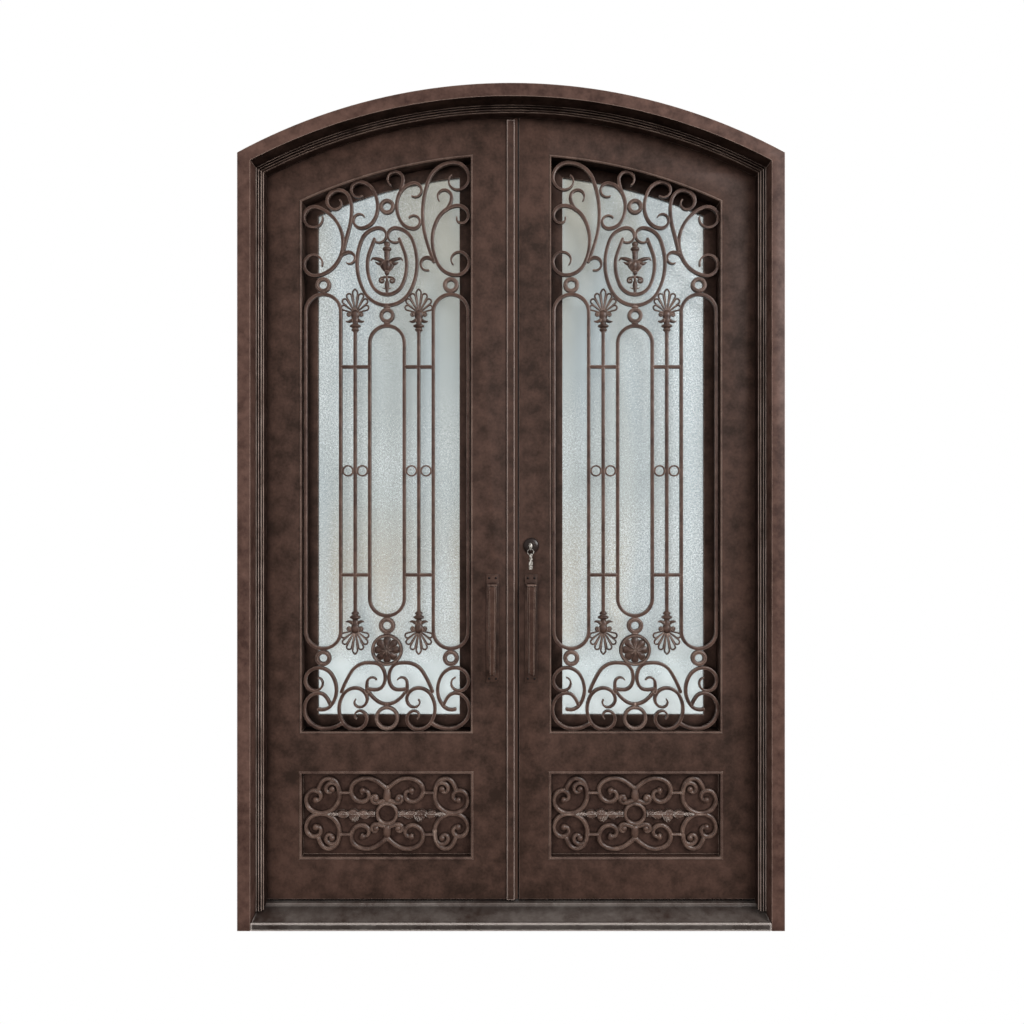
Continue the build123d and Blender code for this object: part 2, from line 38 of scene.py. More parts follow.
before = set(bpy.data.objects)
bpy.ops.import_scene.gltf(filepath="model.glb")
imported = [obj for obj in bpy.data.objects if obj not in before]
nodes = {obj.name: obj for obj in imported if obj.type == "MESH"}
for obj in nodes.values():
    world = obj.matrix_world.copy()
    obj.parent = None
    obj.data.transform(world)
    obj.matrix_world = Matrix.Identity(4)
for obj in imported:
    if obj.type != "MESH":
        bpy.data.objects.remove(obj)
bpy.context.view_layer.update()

# Sizes in millimetres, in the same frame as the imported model: X right, Y into the house, Z up
MM = 0.001
half_width, frame_height, arch_rise, frame_face = 787.5, 2438.0, 200.0, 38.0
frame_front, frame_back = -76.0, 76.0
arch_radius = (half_width ** 2 + arch_rise ** 2) / (2 * arch_rise)
arch_z = frame_height - arch_radius
jamb_inside = half_width - frame_face
face_radius = arch_radius - frame_face
sill_low, sill_high, sill_slope_start = 22.0, 42.0, -64.0
stop_front, stop_back, stop_reach = -24.0, 5.0, 22.0
leaf_front, leaf_back = 10.0, 60.0
leaf_edge, leaf_bottom, leaf_radius = jamb_inside - 6, 48.0, face_radius - 6
hole_outer, hole_inner = leaf_edge - 118.5, leaf_edge - 623.5
hole_middle = (hole_outer + hole_inner) / 2
hole_radius = leaf_radius - 125
hole_bottom = 548.4
window_head, lowest_soffit, shaded_height = 2000.0, 400.0, 2200.0
kick_bottom, kick_top = 173.7, 421.5
kick_middle = (kick_bottom + kick_top) / 2
kick_front, kick_back = 20.5, 31.0
grille_front, grille_back = 19.0, 31.0
grille_middle = (grille_front + grille_back) / 2
cast_y = grille_middle - 1
sash_back, sash_inset, sash_lap = 76.0, 37.0, 12.0
pivot_x, pivot_y = 746.5, 84.0
left_reach, right_reach = 762.0, 726.0
hinge_heights = (330.0, 1180.0, 1960.0)
knuckle_height, barrel_radius = 36.0, 8.0
left_pull_x, right_pull_x, pull_height, lock_height = 55.0, 60.0, 857.0, 1103.0
plate_half_width, plate_half, plate_thick, screw_half, grip_half = 18.5, 161, 4, 150, 134
arch_steps = 48
weld_distance = 0.02 * MM
mirror = Matrix.Scale(-1, 4, (1, 0, 0))

# Scrolls of the left grille: x from the middle of its window, z above the floor, angles in degrees.
# A curl is (x, z, radius, angle where the bar leaves it, sweep, shrink per quarter turn).
# Other points are (x, z, heading).
top_scrolls = (
    ((-217, 2087, 33, 70, 300, 0.92), (-132, 2012, -90), (-215, 1947, 34, -80, -300, 0.88)),
    ((-145, 2135, 35, 80, 330, 0.74), (-106, 2114, -90), (-130, 1991, -103)),
    ((-138, 1972, 70), (-115, 1965, 19, 110, -230, 0.9)),
    ((-81, 2169, 26, 80, 230, 0.85), (-28, 2120, -90), (-77, 2080, 24, -80, -250, 0.82)),
    ((25, 2201, 24, -5, 240, 0.95), (29, 2123, -90), (79, 2075, 20, -90, 230, 0.95)),
    ((41, 2165, 60), (82, 2169, 22, 100, -220, 0.92)),
    ((141, 1955, 113), (107, 2099, 90), (199, 2205, 48, 95, -330, 0.75)),
    ((212, 2090, 34, 100, -300, 0.68), (136, 2021, -90), (207, 1955, 40, -95, 320, 0.78)),
    ((177, 2110, 50), (172, 2149, 22, 0, 220, 0.92)),
    ((141, 1961, 165), (121, 1948, 20, 100, 190, 0.95)),
)
oval_scrolls = (
    ((-25, 2034, 23, 95, -240, 0.95), (-90, 1949, -90), (0, 1824.5, 0)),
    ((-37, 2024, -112), (-59, 1946, -90), (0, 1857, 0)),
)
bottom_scrolls = (
    ((-205, 695, 41, 85, 350, 0.76), (-152, 669, -90), (-206, 612, 160)),
    ((-170, 624, 110), (-206, 660, 180), (-248, 612, -90), (-186, 553, 0), (-132, 572, 38)),
    ((-94, 585, 34, -90, 330, 0.66), (-144, 612, 90), (-95, 639, 36, 95, -320, 0.67)),
    ((-137, 663, 70), (-57, 751, 0), (-17, 740, -50), (-5.6, 706, -90), (-33, 670, 180), (-59, 673, 160)),
    ((-60, 663, 90), (-44, 691, 16, 170, -140, 0.9)),
    ((-53, 660, -55), (0, 627, 0)),
)
kick_scrolls = (
    ((-214, 338, 30, 190, -340, 0.66), (-198, 298, 0), (-143, 353, 90), (-176, 403, 180), (-206, 371, -105)),
    ((-143, 347, 91), (-165, 371, 18.5, 90, 300, 0.6)),
    ((-3, 373, 135), (-62, 404, 180), (-73, 367, 35, 180, 350, 0.62)),
    ((-9, 336, 195), (-33, 342, 12, -100, -300, 0.7)),
)
loop_bottom, loop_top, loop_half = 892.0, 1763.0, 52.0
side_bottom, side_top, side_half, side_x = 793.5, 1857.5, 52.5, 191.5
rod_x, rod_bottom, rod_top = 95.5, 900.0, 1750.0
cross_heights = (1014.8, 1639.5)
small_ring_height, rosette_height = 1327.5, 789.5
upper_shell_height, lower_shell_height = 1802, 848
# Rings as (x, z, outside, inside), and the heights of the weld knots over and under the middle ones
crown_rings = ((0, 2121, 47.5, 23), (0, 1793.8, 46, 23), (-side_x, 1885.5, 48, 23), (side_x, 1885.5, 48, 23))
foot_rings = ((0, 862.5, 50, 23), (0, 585, 74, 52), (-side_x, 765, 49, 23), (side_x, 765, 49, 23))
crown_knots, foot_knots = (1820, 1767.5), (889, 837)

# Turned forms as (height, radius), the lock's roses as (y, radius), the leaves' lobes as (share of length, peak)
capital_profile = (
    (9, 4), (6, 9), (1, 13), (-6, 14), (-13, 12), (-17, 10.5), (-22, 11.5), (-27, 10), (-31, 8), (-34, 9),
    (-36.5, 15), (-39.5, 17.5), (-42.5, 15.5), (-45, 10), (-47.5, 8.5), (-49.5, 11.5), (-52.5, 11.8), (-55, 9),
    (-58, 6.5), (-61, 5),
)
drop_profiles = (
    ((2016, 3), (2014, 7), (2010, 9.5), (2005, 9), (2000, 6.5)),
    ((2001, 6.5), (1997, 12), (1993, 14), (1989, 12), (1986, 8), (1983, 9.5), (1979, 8), (1972, 8.5), (1962, 7.5),
     (1954, 5), (1950, 5.5)),
)
skirt_profile = ((1962, 6), (1957, 15), (1951, 20), (1944, 21), (1937, 17.5), (1930, 12), (1924, 7), (1920, 4))
stem_profile = (
    (1918, 4), (1908, 3.2), (1900, 4), (1893, 6.5), (1885, 7.5), (1876, 6.5), (1868, 4.5), (1862, 4.5), (1856, 7),
)
vase_profile = (
    (34, 6), (37, 10), (44, 12), (54, 12.5), (64, 11), (70, 8.5), (75, 7.5), (79, 8), (82, 6), (84, 2),
)
rose_profile = (
    (11, 24), (8.0, 23.9), (6.0, 23), (4.4, 21.6), (3.1, 19.6), (2.2, 17.2), (1.6, 14.4), (1.3, 11.6), (1.9, 11.2),
    (1.9, 10.4), (1.2, 10), (1.0, 0.3),
)
back_rose_profile = ((59, 24), (62.5, 24), (64.5, 22.5), (65.2, 19), (65.2, 0.5))
upper_lobes = ((0.10, 6), (0.31, 10), (0.53, 13), (0.74, 10), (0.93, 9))
lower_lobes = ((0.12, 8), (0.33, 15), (0.56, 27), (0.78, 18), (0.95, 11))

# Lamps as (name, place, aim, size, power) and the photo's camera, in metres and watts
lamps = (
    ("key", (3.6, -3.6, 3.2), (0, 0, 1.1), 2.4, 200),
    ("fill", (-0.9, -4.6, 0.6), (0, 0, 0.5), 2.4, 165),
    ("rear", (1.8, 3.8, 3.2), (0, 0, 1.2), 2.6, 130),
)
camera_place, camera_lens, camera_shift = (0, -2.276, 1.2158), 26.92, (1 / 1024, -4 / 1024)


def linear(code):
    """Linear colour of an sRGB hex value."""
    values = [int(code[i:i + 2], 16) / 255 for i in (0, 2, 4)]
    return tuple(v / 12.92 if v <= 0.04045 else ((v + 0.055) / 1.055) ** 2.4 for v in values)


class IronDoorSettings(bpy.types.PropertyGroup):
    """Sizes and colours of the door's finish"""
    bar_width: FloatProperty(
        name="Grille bar width", description="Width of the flat bar that the scrolls are bent from",
        default=10 * MM, unit="LENGTH")
    kick_bar_width: FloatProperty(
        name="Kick panel bar width", description="Width of the half-round bar on the kick panel",
        default=14 * MM, unit="LENGTH")
    arris: FloatProperty(
        name="Arris", description="Rounding of the edges of stiles, rails and frame",
        default=1.4 * MM, unit="LENGTH")
    glass_grain: FloatProperty(
        name="Glass grain", description="Size of the pebbles in the textured glass",
        default=3.5 * MM, unit="LENGTH")
    paint_dark: FloatVectorProperty(
        name="Paint, dark", description="Darker tone of the paint on the leaves",
        default=linear("2F221C"), size=3, subtype="COLOR")
    paint_light: FloatVectorProperty(
        name="Paint, light", description="Lighter clouds rubbed into the paint on the leaves",
        default=linear("503B33"), size=3, subtype="COLOR")
    frame_dark: FloatVectorProperty(
        name="Frame, dark", description="Darker tone of the paint on the frame",
        default=linear("3F2C26"), size=3, subtype="COLOR")
    frame_light: FloatVectorProperty(
        name="Frame, light", description="Lighter clouds rubbed into the paint on the frame",
        default=linear("634A41"), size=3, subtype="COLOR")
    rubbed_edge: FloatVectorProperty(
        name="Rubbed edge", description="Bronze that shows where edges are rubbed",
        default=linear("A08A7E"), size=3, subtype="COLOR")
    glass_pale: FloatVectorProperty(
        name="Glass, pale", description="Sparkle on the pebbles of the textured glass",
        default=linear("F0F7F8"), size=3, subtype="COLOR")
    # The glass's grey bands are a painted view of what lies outside, seen through the glass
    glass_grey: FloatVectorProperty(
        name="Glass, grey", description="Darker upright bands of the textured glass",
        default=linear("BCC8CC"), size=3, subtype="COLOR")


def settings():
    """The sizes and colours that the panel shows."""
    return bpy.context.scene.iron_door


# Materials

def per_metre(size_mm):
    """Noise scale whose features are that many millimetres wide."""
    return 1000 / size_mm


def rgba(colour):
    """Socket value of a colour setting or an sRGB hex value."""
    return (*(linear(colour) if isinstance(colour, str) else colour), 1)


def set_inputs(tree, node, inputs):
    """Sets a node's inputs: a node, by its first output, or a socket is linked, and anything else is a value."""
    for key, value in inputs.items():
        if isinstance(value, bpy.types.Node):
            value = value.outputs[0]
        if isinstance(value, bpy.types.NodeSocket):
            tree.links.new(value, node.inputs[key])
        else:
            node.inputs[key].default_value = value


def add_node(tree, kind, inputs=None, **options):
    """Adds a shader node with its options, values and incoming links."""
    node = tree.nodes.new("ShaderNode" + kind)
    for name, value in options.items():
        setattr(node, name, value)
    set_inputs(tree, node, inputs or {})
    return node


def new_material(name):
    """A new material with its node tree and its shader."""
    material = bpy.data.materials.new(name)
    material.use_nodes = True
    return material, material.node_tree, material.node_tree.nodes["Principled BSDF"]


def painted_iron(name, dark, light, cloud_mm, roughness, wear=0.55, wear_mm=2.2, shine=0.2, worn=None, sill=False):
    """Oil paint rubbed by hand over welded steel: cloudy brown, with paler bronze where edges are rubbed, and
    painted shade in crevices.
    """
    if name in bpy.data.materials:
        return bpy.data.materials[name]
    material, tree, shader = new_material(name)
    place = add_node(tree, "TexCoord").outputs["Object"]
    clouds = add_node(tree, "TexNoise", {"Vector": place, "Scale": per_metre(cloud_mm), "Detail": 4,
                                         "Roughness": 0.55})
    dabs = add_node(tree, "TexNoise", {"Vector": place, "Scale": per_metre(cloud_mm / 5), "Detail": 4,
                                       "Roughness": 0.65})
    wide = add_node(tree, "TexNoise", {"Vector": place, "Scale": per_metre(cloud_mm * 6), "Detail": 2})
    some = add_node(tree, "Math", {0: dabs, 1: 0.5, 2: clouds}, operation="MULTIPLY_ADD")
    both = add_node(tree, "Math", {0: wide, 1: 0.6, 2: some}, operation="MULTIPLY_ADD")
    share = add_node(tree, "MapRange", {"Value": both, "From Min": 0.82, "From Max": 1.28})
    tone = add_node(tree, "MixRGB", {"Fac": share, "Color1": rgba(dark), "Color2": rgba(light)})
    # Edges wear where a rounded normal differs from the true one, and more where the paint is light
    rounded_edge = add_node(tree, "Bevel", {"Radius": wear_mm * MM}, samples=4)
    normal = add_node(tree, "NewGeometry").outputs["Normal"]
    agree = add_node(tree, "VectorMath", {0: rounded_edge, 1: normal}, operation="DOT_PRODUCT").outputs["Value"]
    edge = add_node(tree, "MapRange", {"Value": agree, "From Min": 0.99, "From Max": 0.84})
    broken = add_node(tree, "Math", {0: edge, 1: share}, operation="MULTIPLY")
    rubbed = add_node(tree, "Math", {0: edge, 1: wear, 2: broken}, operation="MULTIPLY_ADD")
    spread = add_node(tree, "Math", {0: rubbed, 1: 0.9}, operation="MINIMUM")
    # Painted shade: the colour is darkened where ambient occlusion finds crevices, recesses and undersides
    ao_shade = add_node(tree, "AmbientOcclusion", {"Distance": 60 * MM}, samples=4).outputs["AO"]
    unshaded_share = add_node(tree, "MapRange", {"Value": ao_shade, "From Min": 0.2, "From Max": 0.8, "To Min": 0.2})
    tone_with_painted_light = add_node(tree, "VectorMath", {0: tone, "Scale": unshaded_share}, operation="SCALE")
    if sill:
        depth = add_node(tree, "SeparateXYZ", {"Vector": place}).outputs["Y"]
        # Painted light by depth: painted shade under the leaves and on the sill's face, and a painted highlight on
        # the lip at their foot
        for start, end, first, last in ((-40, -4, 1, 0.6), (-3.6, -2.6, 1, 2.4), (-75.5, -73.5, 0.7, 1)):
            painted_light_by_depth = add_node(tree, "MapRange", {"Value": depth, "From Min": start * MM, "From Max": end * MM,
                                                     "To Min": first, "To Max": last})
            tone_with_painted_light = add_node(tree, "VectorMath", {0: tone_with_painted_light, "Scale": painted_light_by_depth}, operation="SCALE")
        # Feet rub the front more than the back
        trodden = add_node(tree, "MapRange", {"Value": depth, "From Min": -55 * MM, "From Max": -30 * MM,
                                              "To Min": 1, "To Max": 0.05})
        spread = add_node(tree, "Math", {0: spread, 1: trodden}, operation="MULTIPLY")
    bronze = rgba(worn or settings().rubbed_edge)
    colour = add_node(tree, "MixRGB", {"Fac": spread, "Color1": tone_with_painted_light, "Color2": bronze})
    gloss = add_node(tree, "MapRange", {"Value": share, "To Min": roughness + 0.06, "To Max": roughness - 0.06})
    # Brush and orange-peel texture: real ones are under 1 mm; they are drawn 1.5 mm wide, so that they show
    peel = add_node(tree, "TexNoise", {"Vector": place, "Scale": per_metre(1.5), "Detail": 2})
    relief = add_node(tree, "Math", {0: peel, 1: 0.5, 2: dabs}, operation="MULTIPLY_ADD")
    bump = add_node(tree, "Bump", {"Height": relief, "Strength": 0.35, "Distance": 0.6 * MM})
    set_inputs(tree, shader, {"Base Color": colour, "Roughness": gloss, "Normal": bump,
                              "Specular IOR Level": shine})
    return material


def leaf_paint():
    """On stiles and rails: half matt, with clouds about 40 mm wide and a thin worn line on each arris."""
    s = settings()
    return painted_iron("Rubbed_bronze_paint", s.paint_dark, s.paint_light, 42, 0.5)


def frame_paint():
    """On the frame: a warmer, lighter brown, painted light for a face that stands in fuller light than the leaves,
    with its edges rubbed widest.
    """
    s = settings()
    return painted_iron("Rubbed_bronze_paint_on_frame", s.frame_dark, s.frame_light, 36, 0.48, 1.4, 3.4)


def grille_paint():
    """On the grille's bars: a little lighter than the leaf, as a painted highlight, and glossier, with rubbed edges.
    """
    return painted_iron("Rubbed_bronze_paint_on_bars", "3A2822", "5A443B", 24, 0.42, 0.5, 3.0, 0.35)


def strip_paint():
    """On the meeting strip: the leaf's paint between two bright edges, worn and with a painted highlight."""
    s = settings()
    return painted_iron("Rubbed_bronze_paint_on_strip", s.paint_dark, s.paint_light, 36, 0.45, 2.4, 4.5,
                        worn="C4B0A6")


def stops_painted_shade():
    """On the stop moulding, grooves and all: painted shade, nearly black."""
    return painted_iron("Painted_shade_on_stops", "22150F", "3C2B25", 36, 0.5, 0.1)


def crests_painted_highlight():
    """On the crests of the side stops: pale bronze lines, a painted highlight."""
    return painted_iron("Painted_highlight_on_crests", "6E5A50", "B09C90", 60, 0.36, 0.3, 1.5, 0.5, "C4B0A6")


def crests_painted_shade():
    """On the crests under the arch: painted shade, darker than the crests of the side stops."""
    return painted_iron("Painted_shade_on_crests", "211611", "3E2F28", 60, 0.42, 0.1, 1.5)


def ornament_paint():
    """On the kick panel's scrolls, rubbed smooth wherever it stands proud, and on the caps of the pulls, as a
    painted highlight.
    """
    return painted_iron("Rubbed_bronze_paint_on_ornament", "402D26", "675045", 18, 0.36, 0.1, 2.0, 0.55)


def leafwork_paint():
    """On the acanthus leaves: silvery where lobes and veins are rubbed."""
    return painted_iron("Silvery_rubbed_paint", "3E2C25", "765F54", 12, 0.38, 1.0, 1.6, 0.5, "E0D4CA")


def casting_paint():
    """On the grille's castings: dark, with painted shade in the hollows, worn on petals and collars."""
    return painted_iron("Rubbed_bronze_paint_on_castings", "2C1D18", "5C463C", 10, 0.36, 0.7, 2.0, 0.5)


def bead_paint():
    """On the beads round window and kick panel: a fine lighter line, a painted highlight."""
    return painted_iron("Rubbed_bronze_paint_on_beads", settings().frame_dark, "624D43", 42, 0.45, 0.4, 2.2, 0.3)


def plate_paint():
    """On the plates behind the pulls: the leaf's paint, hardly worn."""
    s = settings()
    return painted_iron("Rubbed_bronze_paint_on_plates", s.paint_dark, s.paint_light, 30, 0.5, 0.02, 0.6)


def recess_paint():
    """On the sunk kick panels: darker than the leaf, with small clouds."""
    return painted_iron("Rubbed_bronze_paint_in_recess", "2A1C17", settings().paint_light, 30, 0.5)


def undersides_painted_shade():
    """Under the arch and over the windows: painted shade, dark and dull."""
    return painted_iron("Painted_shade_on_undersides", "1A110D", "34251F", 42, 0.55, 0.1, 2.2, 0.1)


def sill_paint():
    """On the sill: grey-brown and glossy from feet, with a bright front edge, painted shade under the leaves and on
    its face, and a painted highlight on the lip.
    """
    return painted_iron("Scuffed_grey_bronze_paint", "3E322D", "6E6661", 90, 0.26, 3.0, 8.0, 0.5, "DCD0C8",
                        sill=True)


def cast_bronze():
    """Oil-rubbed bronze on pulls and hinges: dark brown, with fine bright edges."""
    return painted_iron("Oil_rubbed_bronze", "33221C", "4E3930", 20, 0.45, 1.2, 1.7, 0.15, "B8A498")


def lock_bronze():
    """Oil-rubbed bronze on the lock: darker and more polished by hands than the pulls."""
    return painted_iron("Oil_rubbed_bronze_on_lock", "1F1512", "2C201C", 14, 0.3, 0.1, 1.0, 0.5, "8C7C74")


def blackened_steel():
    """Oil-blackened screws: black, with a soft gleam."""
    return painted_iron("Blackened_steel", "120D0B", "221A17", 8, 0.45, 0.2, 0.5, worn="3A302C")


def rain_glass():
    """Rolled rain glass: pebbled, with a painted view of what lies outside in soft upright bands of grey, and
    painted glints; it blurs what lies behind.
    """
    material, tree, shader = new_material("Rolled_rain_glass")
    place = add_node(tree, "TexCoord").outputs["Object"]
    s = settings()
    axes = add_node(tree, "SeparateXYZ", {"Vector": place})
    height = axes.outputs["Z"]
    # Painted view of what lies outside, from bright ground at the foot to a beige sky, over the glass's height in
    # metres
    share = add_node(tree, "MapRange", {"Value": height, "From Min": 0.5, "From Max": 2.3})
    sky = add_node(tree, "ValToRGB", {"Fac": share})
    tones = ((0.0, "F6FCFB"), (0.13, "F0FAF9"), (0.19, "CFCDC2"), (0.3, "C2BEB1"), (0.42, "BAC1BE"),
             (0.64, "BCC4C3"), (0.83, "B7B7AD"), (1.0, "B4B1A5"))
    while len(sky.color_ramp.elements) < len(tones):
        sky.color_ramp.elements.new(0.5)
    for element, (position, code) in zip(sky.color_ramp.elements, tones):
        element.position = position
        element.color = rgba(code)
    # Painted grey bands of what lies outside, 120 mm wide, drawn out upright; the foot of the glass is evenly bright
    tall = add_node(tree, "Mapping", {"Vector": place, "Scale": (1, 1, 0.16)})
    bands = add_node(tree, "TexNoise", {"Vector": tall, "Scale": per_metre(120), "Detail": 1.5, "Roughness": 0.4})
    blue = add_node(tree, "MapRange", {"Value": bands, "From Min": 0.42, "From Max": 0.64, "To Max": 0.8})
    upper = add_node(tree, "MapRange", {"Value": height, "From Min": 0.65, "From Max": 0.85, "To Min": 0.1})
    grey = add_node(tree, "Math", {0: blue, 1: upper}, operation="MULTIPLY")
    banded = add_node(tree, "MixRGB", {"Fac": grey, "Color1": sky, "Color2": rgba(s.glass_grey)})
    # Real pebbles are about 2 mm wide; they are drawn coarser, so that they show
    pebbles = add_node(tree, "TexNoise", {"Vector": place, "Scale": 0.7 / s.glass_grain, "Detail": 3,
                                          "Roughness": 0.6})
    patches = add_node(tree, "TexNoise", {"Vector": place, "Scale": per_metre(420), "Detail": 1})
    reach = add_node(tree, "MapRange", {"Value": patches, "From Min": 0.4, "From Max": 0.6, "To Min": 0.55})
    # Above, the sparkle fades towards the middle of the door
    aside = add_node(tree, "Math", {0: axes.outputs["X"]}, operation="ABSOLUTE")
    outer = add_node(tree, "MapRange", {"Value": aside, "From Min": 0.2, "From Max": 0.5, "To Min": 0.15})
    lower = add_node(tree, "MapRange", {"Value": height, "From Min": 1.35, "From Max": 1.8, "To Min": 0.9,
                                        "To Max": 0})
    spread = add_node(tree, "Math", {0: outer, 1: lower}, operation="MAXIMUM")
    # Painted glints: pale colour on the pebbles, in patches
    glint = add_node(tree, "MapRange", {"Value": pebbles, "From Min": 0.46, "From Max": 0.57, "To Min": 0.1})
    patchy = add_node(tree, "Math", {0: glint, 1: reach}, operation="MULTIPLY")
    sparkle = add_node(tree, "Math", {0: patchy, 1: spread}, operation="MULTIPLY")
    tone = add_node(tree, "MixRGB", {"Fac": sparkle, "Color1": banded, "Color2": rgba(s.glass_pale)})
    bump = add_node(tree, "Bump", {"Height": pebbles, "Strength": 0.8, "Distance": 1.2 * MM})
    set_inputs(tree, shader, {"Base Color": tone, "Normal": bump, "Roughness": 0.22, "IOR": 1.52,
                              "Transmission Weight": 0.72})
    return material


def seal_rubber():
    """Extruded EPDM rubber in dark bronze brown: dull, with a faint bloom."""
    material, tree, shader = new_material("Extruded_rubber")
    place = add_node(tree, "TexCoord").outputs["Object"]
    bloom = add_node(tree, "TexNoise", {"Vector": place, "Scale": per_metre(14), "Detail": 4})
    tone = add_node(tree, "MixRGB", {"Fac": bloom, "Color1": rgba("3C2C25"), "Color2": rgba("4A3830")})
    set_inputs(tree, shader, {"Base Color": tone, "Roughness": 0.7, "Specular IOR Level": 0.1})
    return material


def nickel_silver():
    """Stamped nickel silver: bright, with fine scratches from use."""
    material, tree, shader = new_material("Stamped_nickel_silver")
    place = add_node(tree, "TexCoord").outputs["Object"]
    scratches = add_node(tree, "TexNoise", {"Vector": place, "Scale": per_metre(4), "Detail": 4})
    patchy = add_node(tree, "MapRange", {"Value": scratches, "From Min": 0.4, "From Max": 0.6})
    tone = add_node(tree, "MixRGB", {"Fac": patchy, "Color1": rgba("5E5850"), "Color2": rgba("D2CCC4")})
    gloss = add_node(tree, "MapRange", {"Value": scratches, "To Min": 0.25, "To Max": 0.45})
    set_inputs(tree, shader, {"Base Color": tone, "Roughness": gloss, "Metallic": 0.3})
    return material


# Scroll lines: chains of tangent arcs, each held as (centre, radius, start angle, sweep)

def on_circle(x, z, radius, angle):
    """The point of a circle that lies at an angle in degrees."""
    return x + radius * cos(radians(angle)), z + radius * sin(radians(angle))


def turn(start, heading, radius, sweep):
    """An arc that leaves a point with a heading, the point where it ends and its heading there."""
    side = 1 if sweep > 0 else -1
    cx = start[0] - side * radius * sin(radians(heading))
    cz = start[1] + side * radius * cos(radians(heading))
    first = heading - side * 90
    return ((cx, cz), radius, first, sweep), on_circle(cx, cz, radius, first + sweep), heading + sweep


def reverse(arcs):
    """The same chain of arcs, walked from its other end."""
    return [(centre, radius, first + sweep, -sweep) for centre, radius, first, sweep in reversed(arcs)]


def curl(x, z, radius, leave, sweep, shrink):
    """A curl's first point, the heading there and its arcs, each one tighter than the one before."""
    side = 1 if sweep > 0 else -1
    start = point = on_circle(x, z, radius, leave)
    start_heading = heading = leave + side * 90
    arcs = []
    count = max(1, round(abs(sweep) / 75))
    for i in range(count):
        tightened = radius * shrink ** (i * abs(sweep) / count / 90)
        arc, point, heading = turn(point, heading, tightened, sweep / count)
        arcs.append(arc)
    return start, start_heading, arcs


def arc_to(start, heading, end):
    """The arc that leaves a point with a heading and ends at another point."""
    dx, dz = end[0] - start[0], end[1] - start[1]
    half = (degrees(atan2(dz, dx)) - heading + 180) % 360 - 180
    if abs(half) < 0.25:
        half = 0.25
    return turn(start, heading, hypot(dx, dz) / (2 * sin(radians(abs(half)))), 2 * half)[0]


def biarc(start, heading, end, end_heading):
    """Two tangent arcs between two points with given headings."""
    ux, uz = cos(radians(heading)), sin(radians(heading))
    vx, vz = cos(radians(end_heading)), sin(radians(end_heading))
    dx, dz = end[0] - start[0], end[1] - start[1]
    along = dx * (ux + vx) + dz * (uz + vz)
    bend = 2 * (1 - ux * vx - uz * vz)
    if bend < 1e-6:
        reach = (dx ** 2 + dz ** 2) / (2 * along)
    else:
        reach = (sqrt(along ** 2 + bend * (dx ** 2 + dz ** 2)) - along) / bend
    joint = ((start[0] + end[0] + reach * (ux - vx)) / 2, (start[1] + end[1] + reach * (uz - vz)) / 2)
    return [arc_to(start, heading, joint)] + reverse([arc_to(end, end_heading + 180, joint)])


def scroll(start, *rest):
    """Arcs of one bar, from a curl or point to a curl or point."""
    *via, end = rest
    arcs, inner_end = [], []
    if len(start) > 3:
        point, heading, inner_start = curl(*start)
        arcs, heading = reverse(inner_start), heading + 180
    else:
        point, heading = start[:2], start[2]
    if len(end) > 3:
        place, end_heading, inner_end = curl(*end)
        end = (*place, end_heading)
    for x, z, next_heading in (*via, end):
        arcs += biarc(point, heading, (x, z), next_heading)
        point, heading = (x, z), next_heading
    return arcs + inner_end


# Mesh helpers

def put(bm, x, y, z):
    """Adds a point given in millimetres."""
    return bm.verts.new((x * MM, y * MM, z * MM))


def skin(bm, rings, closed=False, marked=()):
    """Joins rings of points into a tube, with flat ends if it isn't closed; marked sides get the second material."""
    rows = [[put(bm, *point) for point in ring] for ring in rings]
    pairs = list(zip(rows, rows[1:]))
    if closed:
        pairs.append((rows[-1], rows[0]))
    count = len(rows[0])
    for near, far in pairs:
        for i in range(count):
            j = (i + 1) % count
            face = bm.faces.new((near[i], near[j], far[j], far[i]))
            face.material_index = int(i in marked)
    if not closed:
        bm.faces.new(rows[0])
        bm.faces.new(rows[-1])


def band(bm, inner, outer, profile, closed=False, marked=()):
    """Runs a profile of (share of the way from the inner outline to the outer, y) along two matched outlines."""
    rings = []
    for (x0, z0), (x1, z1) in zip(inner, outer):
        rings.append([(x0 + (x1 - x0) * share, y, z0 + (z1 - z0) * share) for share, y in profile])
    skin(bm, rings, closed, marked)


def stations(arcs, width, first_width=None, last_width=None, step=4.0):
    """(x, z, heading, half width) along the arcs; the bar thins out over the three arcs of a curl at its end."""
    lengths = [radius * radians(abs(sweep)) for _, radius, _, sweep in arcs]
    total, first_run, last_run = sum(lengths), sum(lengths[:3]), sum(lengths[-3:])
    result, walked = [], 0.0
    for index, ((cx, cz), radius, first, sweep) in enumerate(arcs):
        count = max(2, ceil(lengths[index] / step), ceil(abs(sweep) / 10))
        count = min(count, max(2, ceil(abs(sweep) / 1.2)))
        for i in range(count + (index == len(arcs) - 1)):
            angle = first + sweep * i / count
            here = walked + lengths[index] * i / count
            local = width
            if first_width:
                local = min(local, first_width + (width - first_width) * here / first_run)
            if last_width:
                local = min(local, last_width + (width - last_width) * (total - here) / last_run)
            heading = angle + (90 if sweep > 0 else -90)
            result.append((*on_circle(cx, cz, radius, angle), heading, local / 2))
        walked += lengths[index]
    return result


def bar_section(half, front, back, crown, round_share):
    """Section across a bar as (offset, y): rounded edges and a crowned face."""
    edge = min(half * round_share, (back - front) * 0.45)
    rise = crown * half
    return [(-half, front + edge), (-half + 0.3 * edge, front + 0.3 * edge), (-half + edge, front),
            (-0.35 * half, front - 0.8 * rise), (0, front - rise), (0.35 * half, front - 0.8 * rise),
            (half - edge, front), (half - 0.3 * edge, front + 0.3 * edge), (half, front + edge),
            (half, back - 0.5 * edge), (half - 0.5 * edge, back), (-half + 0.5 * edge, back),
            (-half, back - 0.5 * edge)]


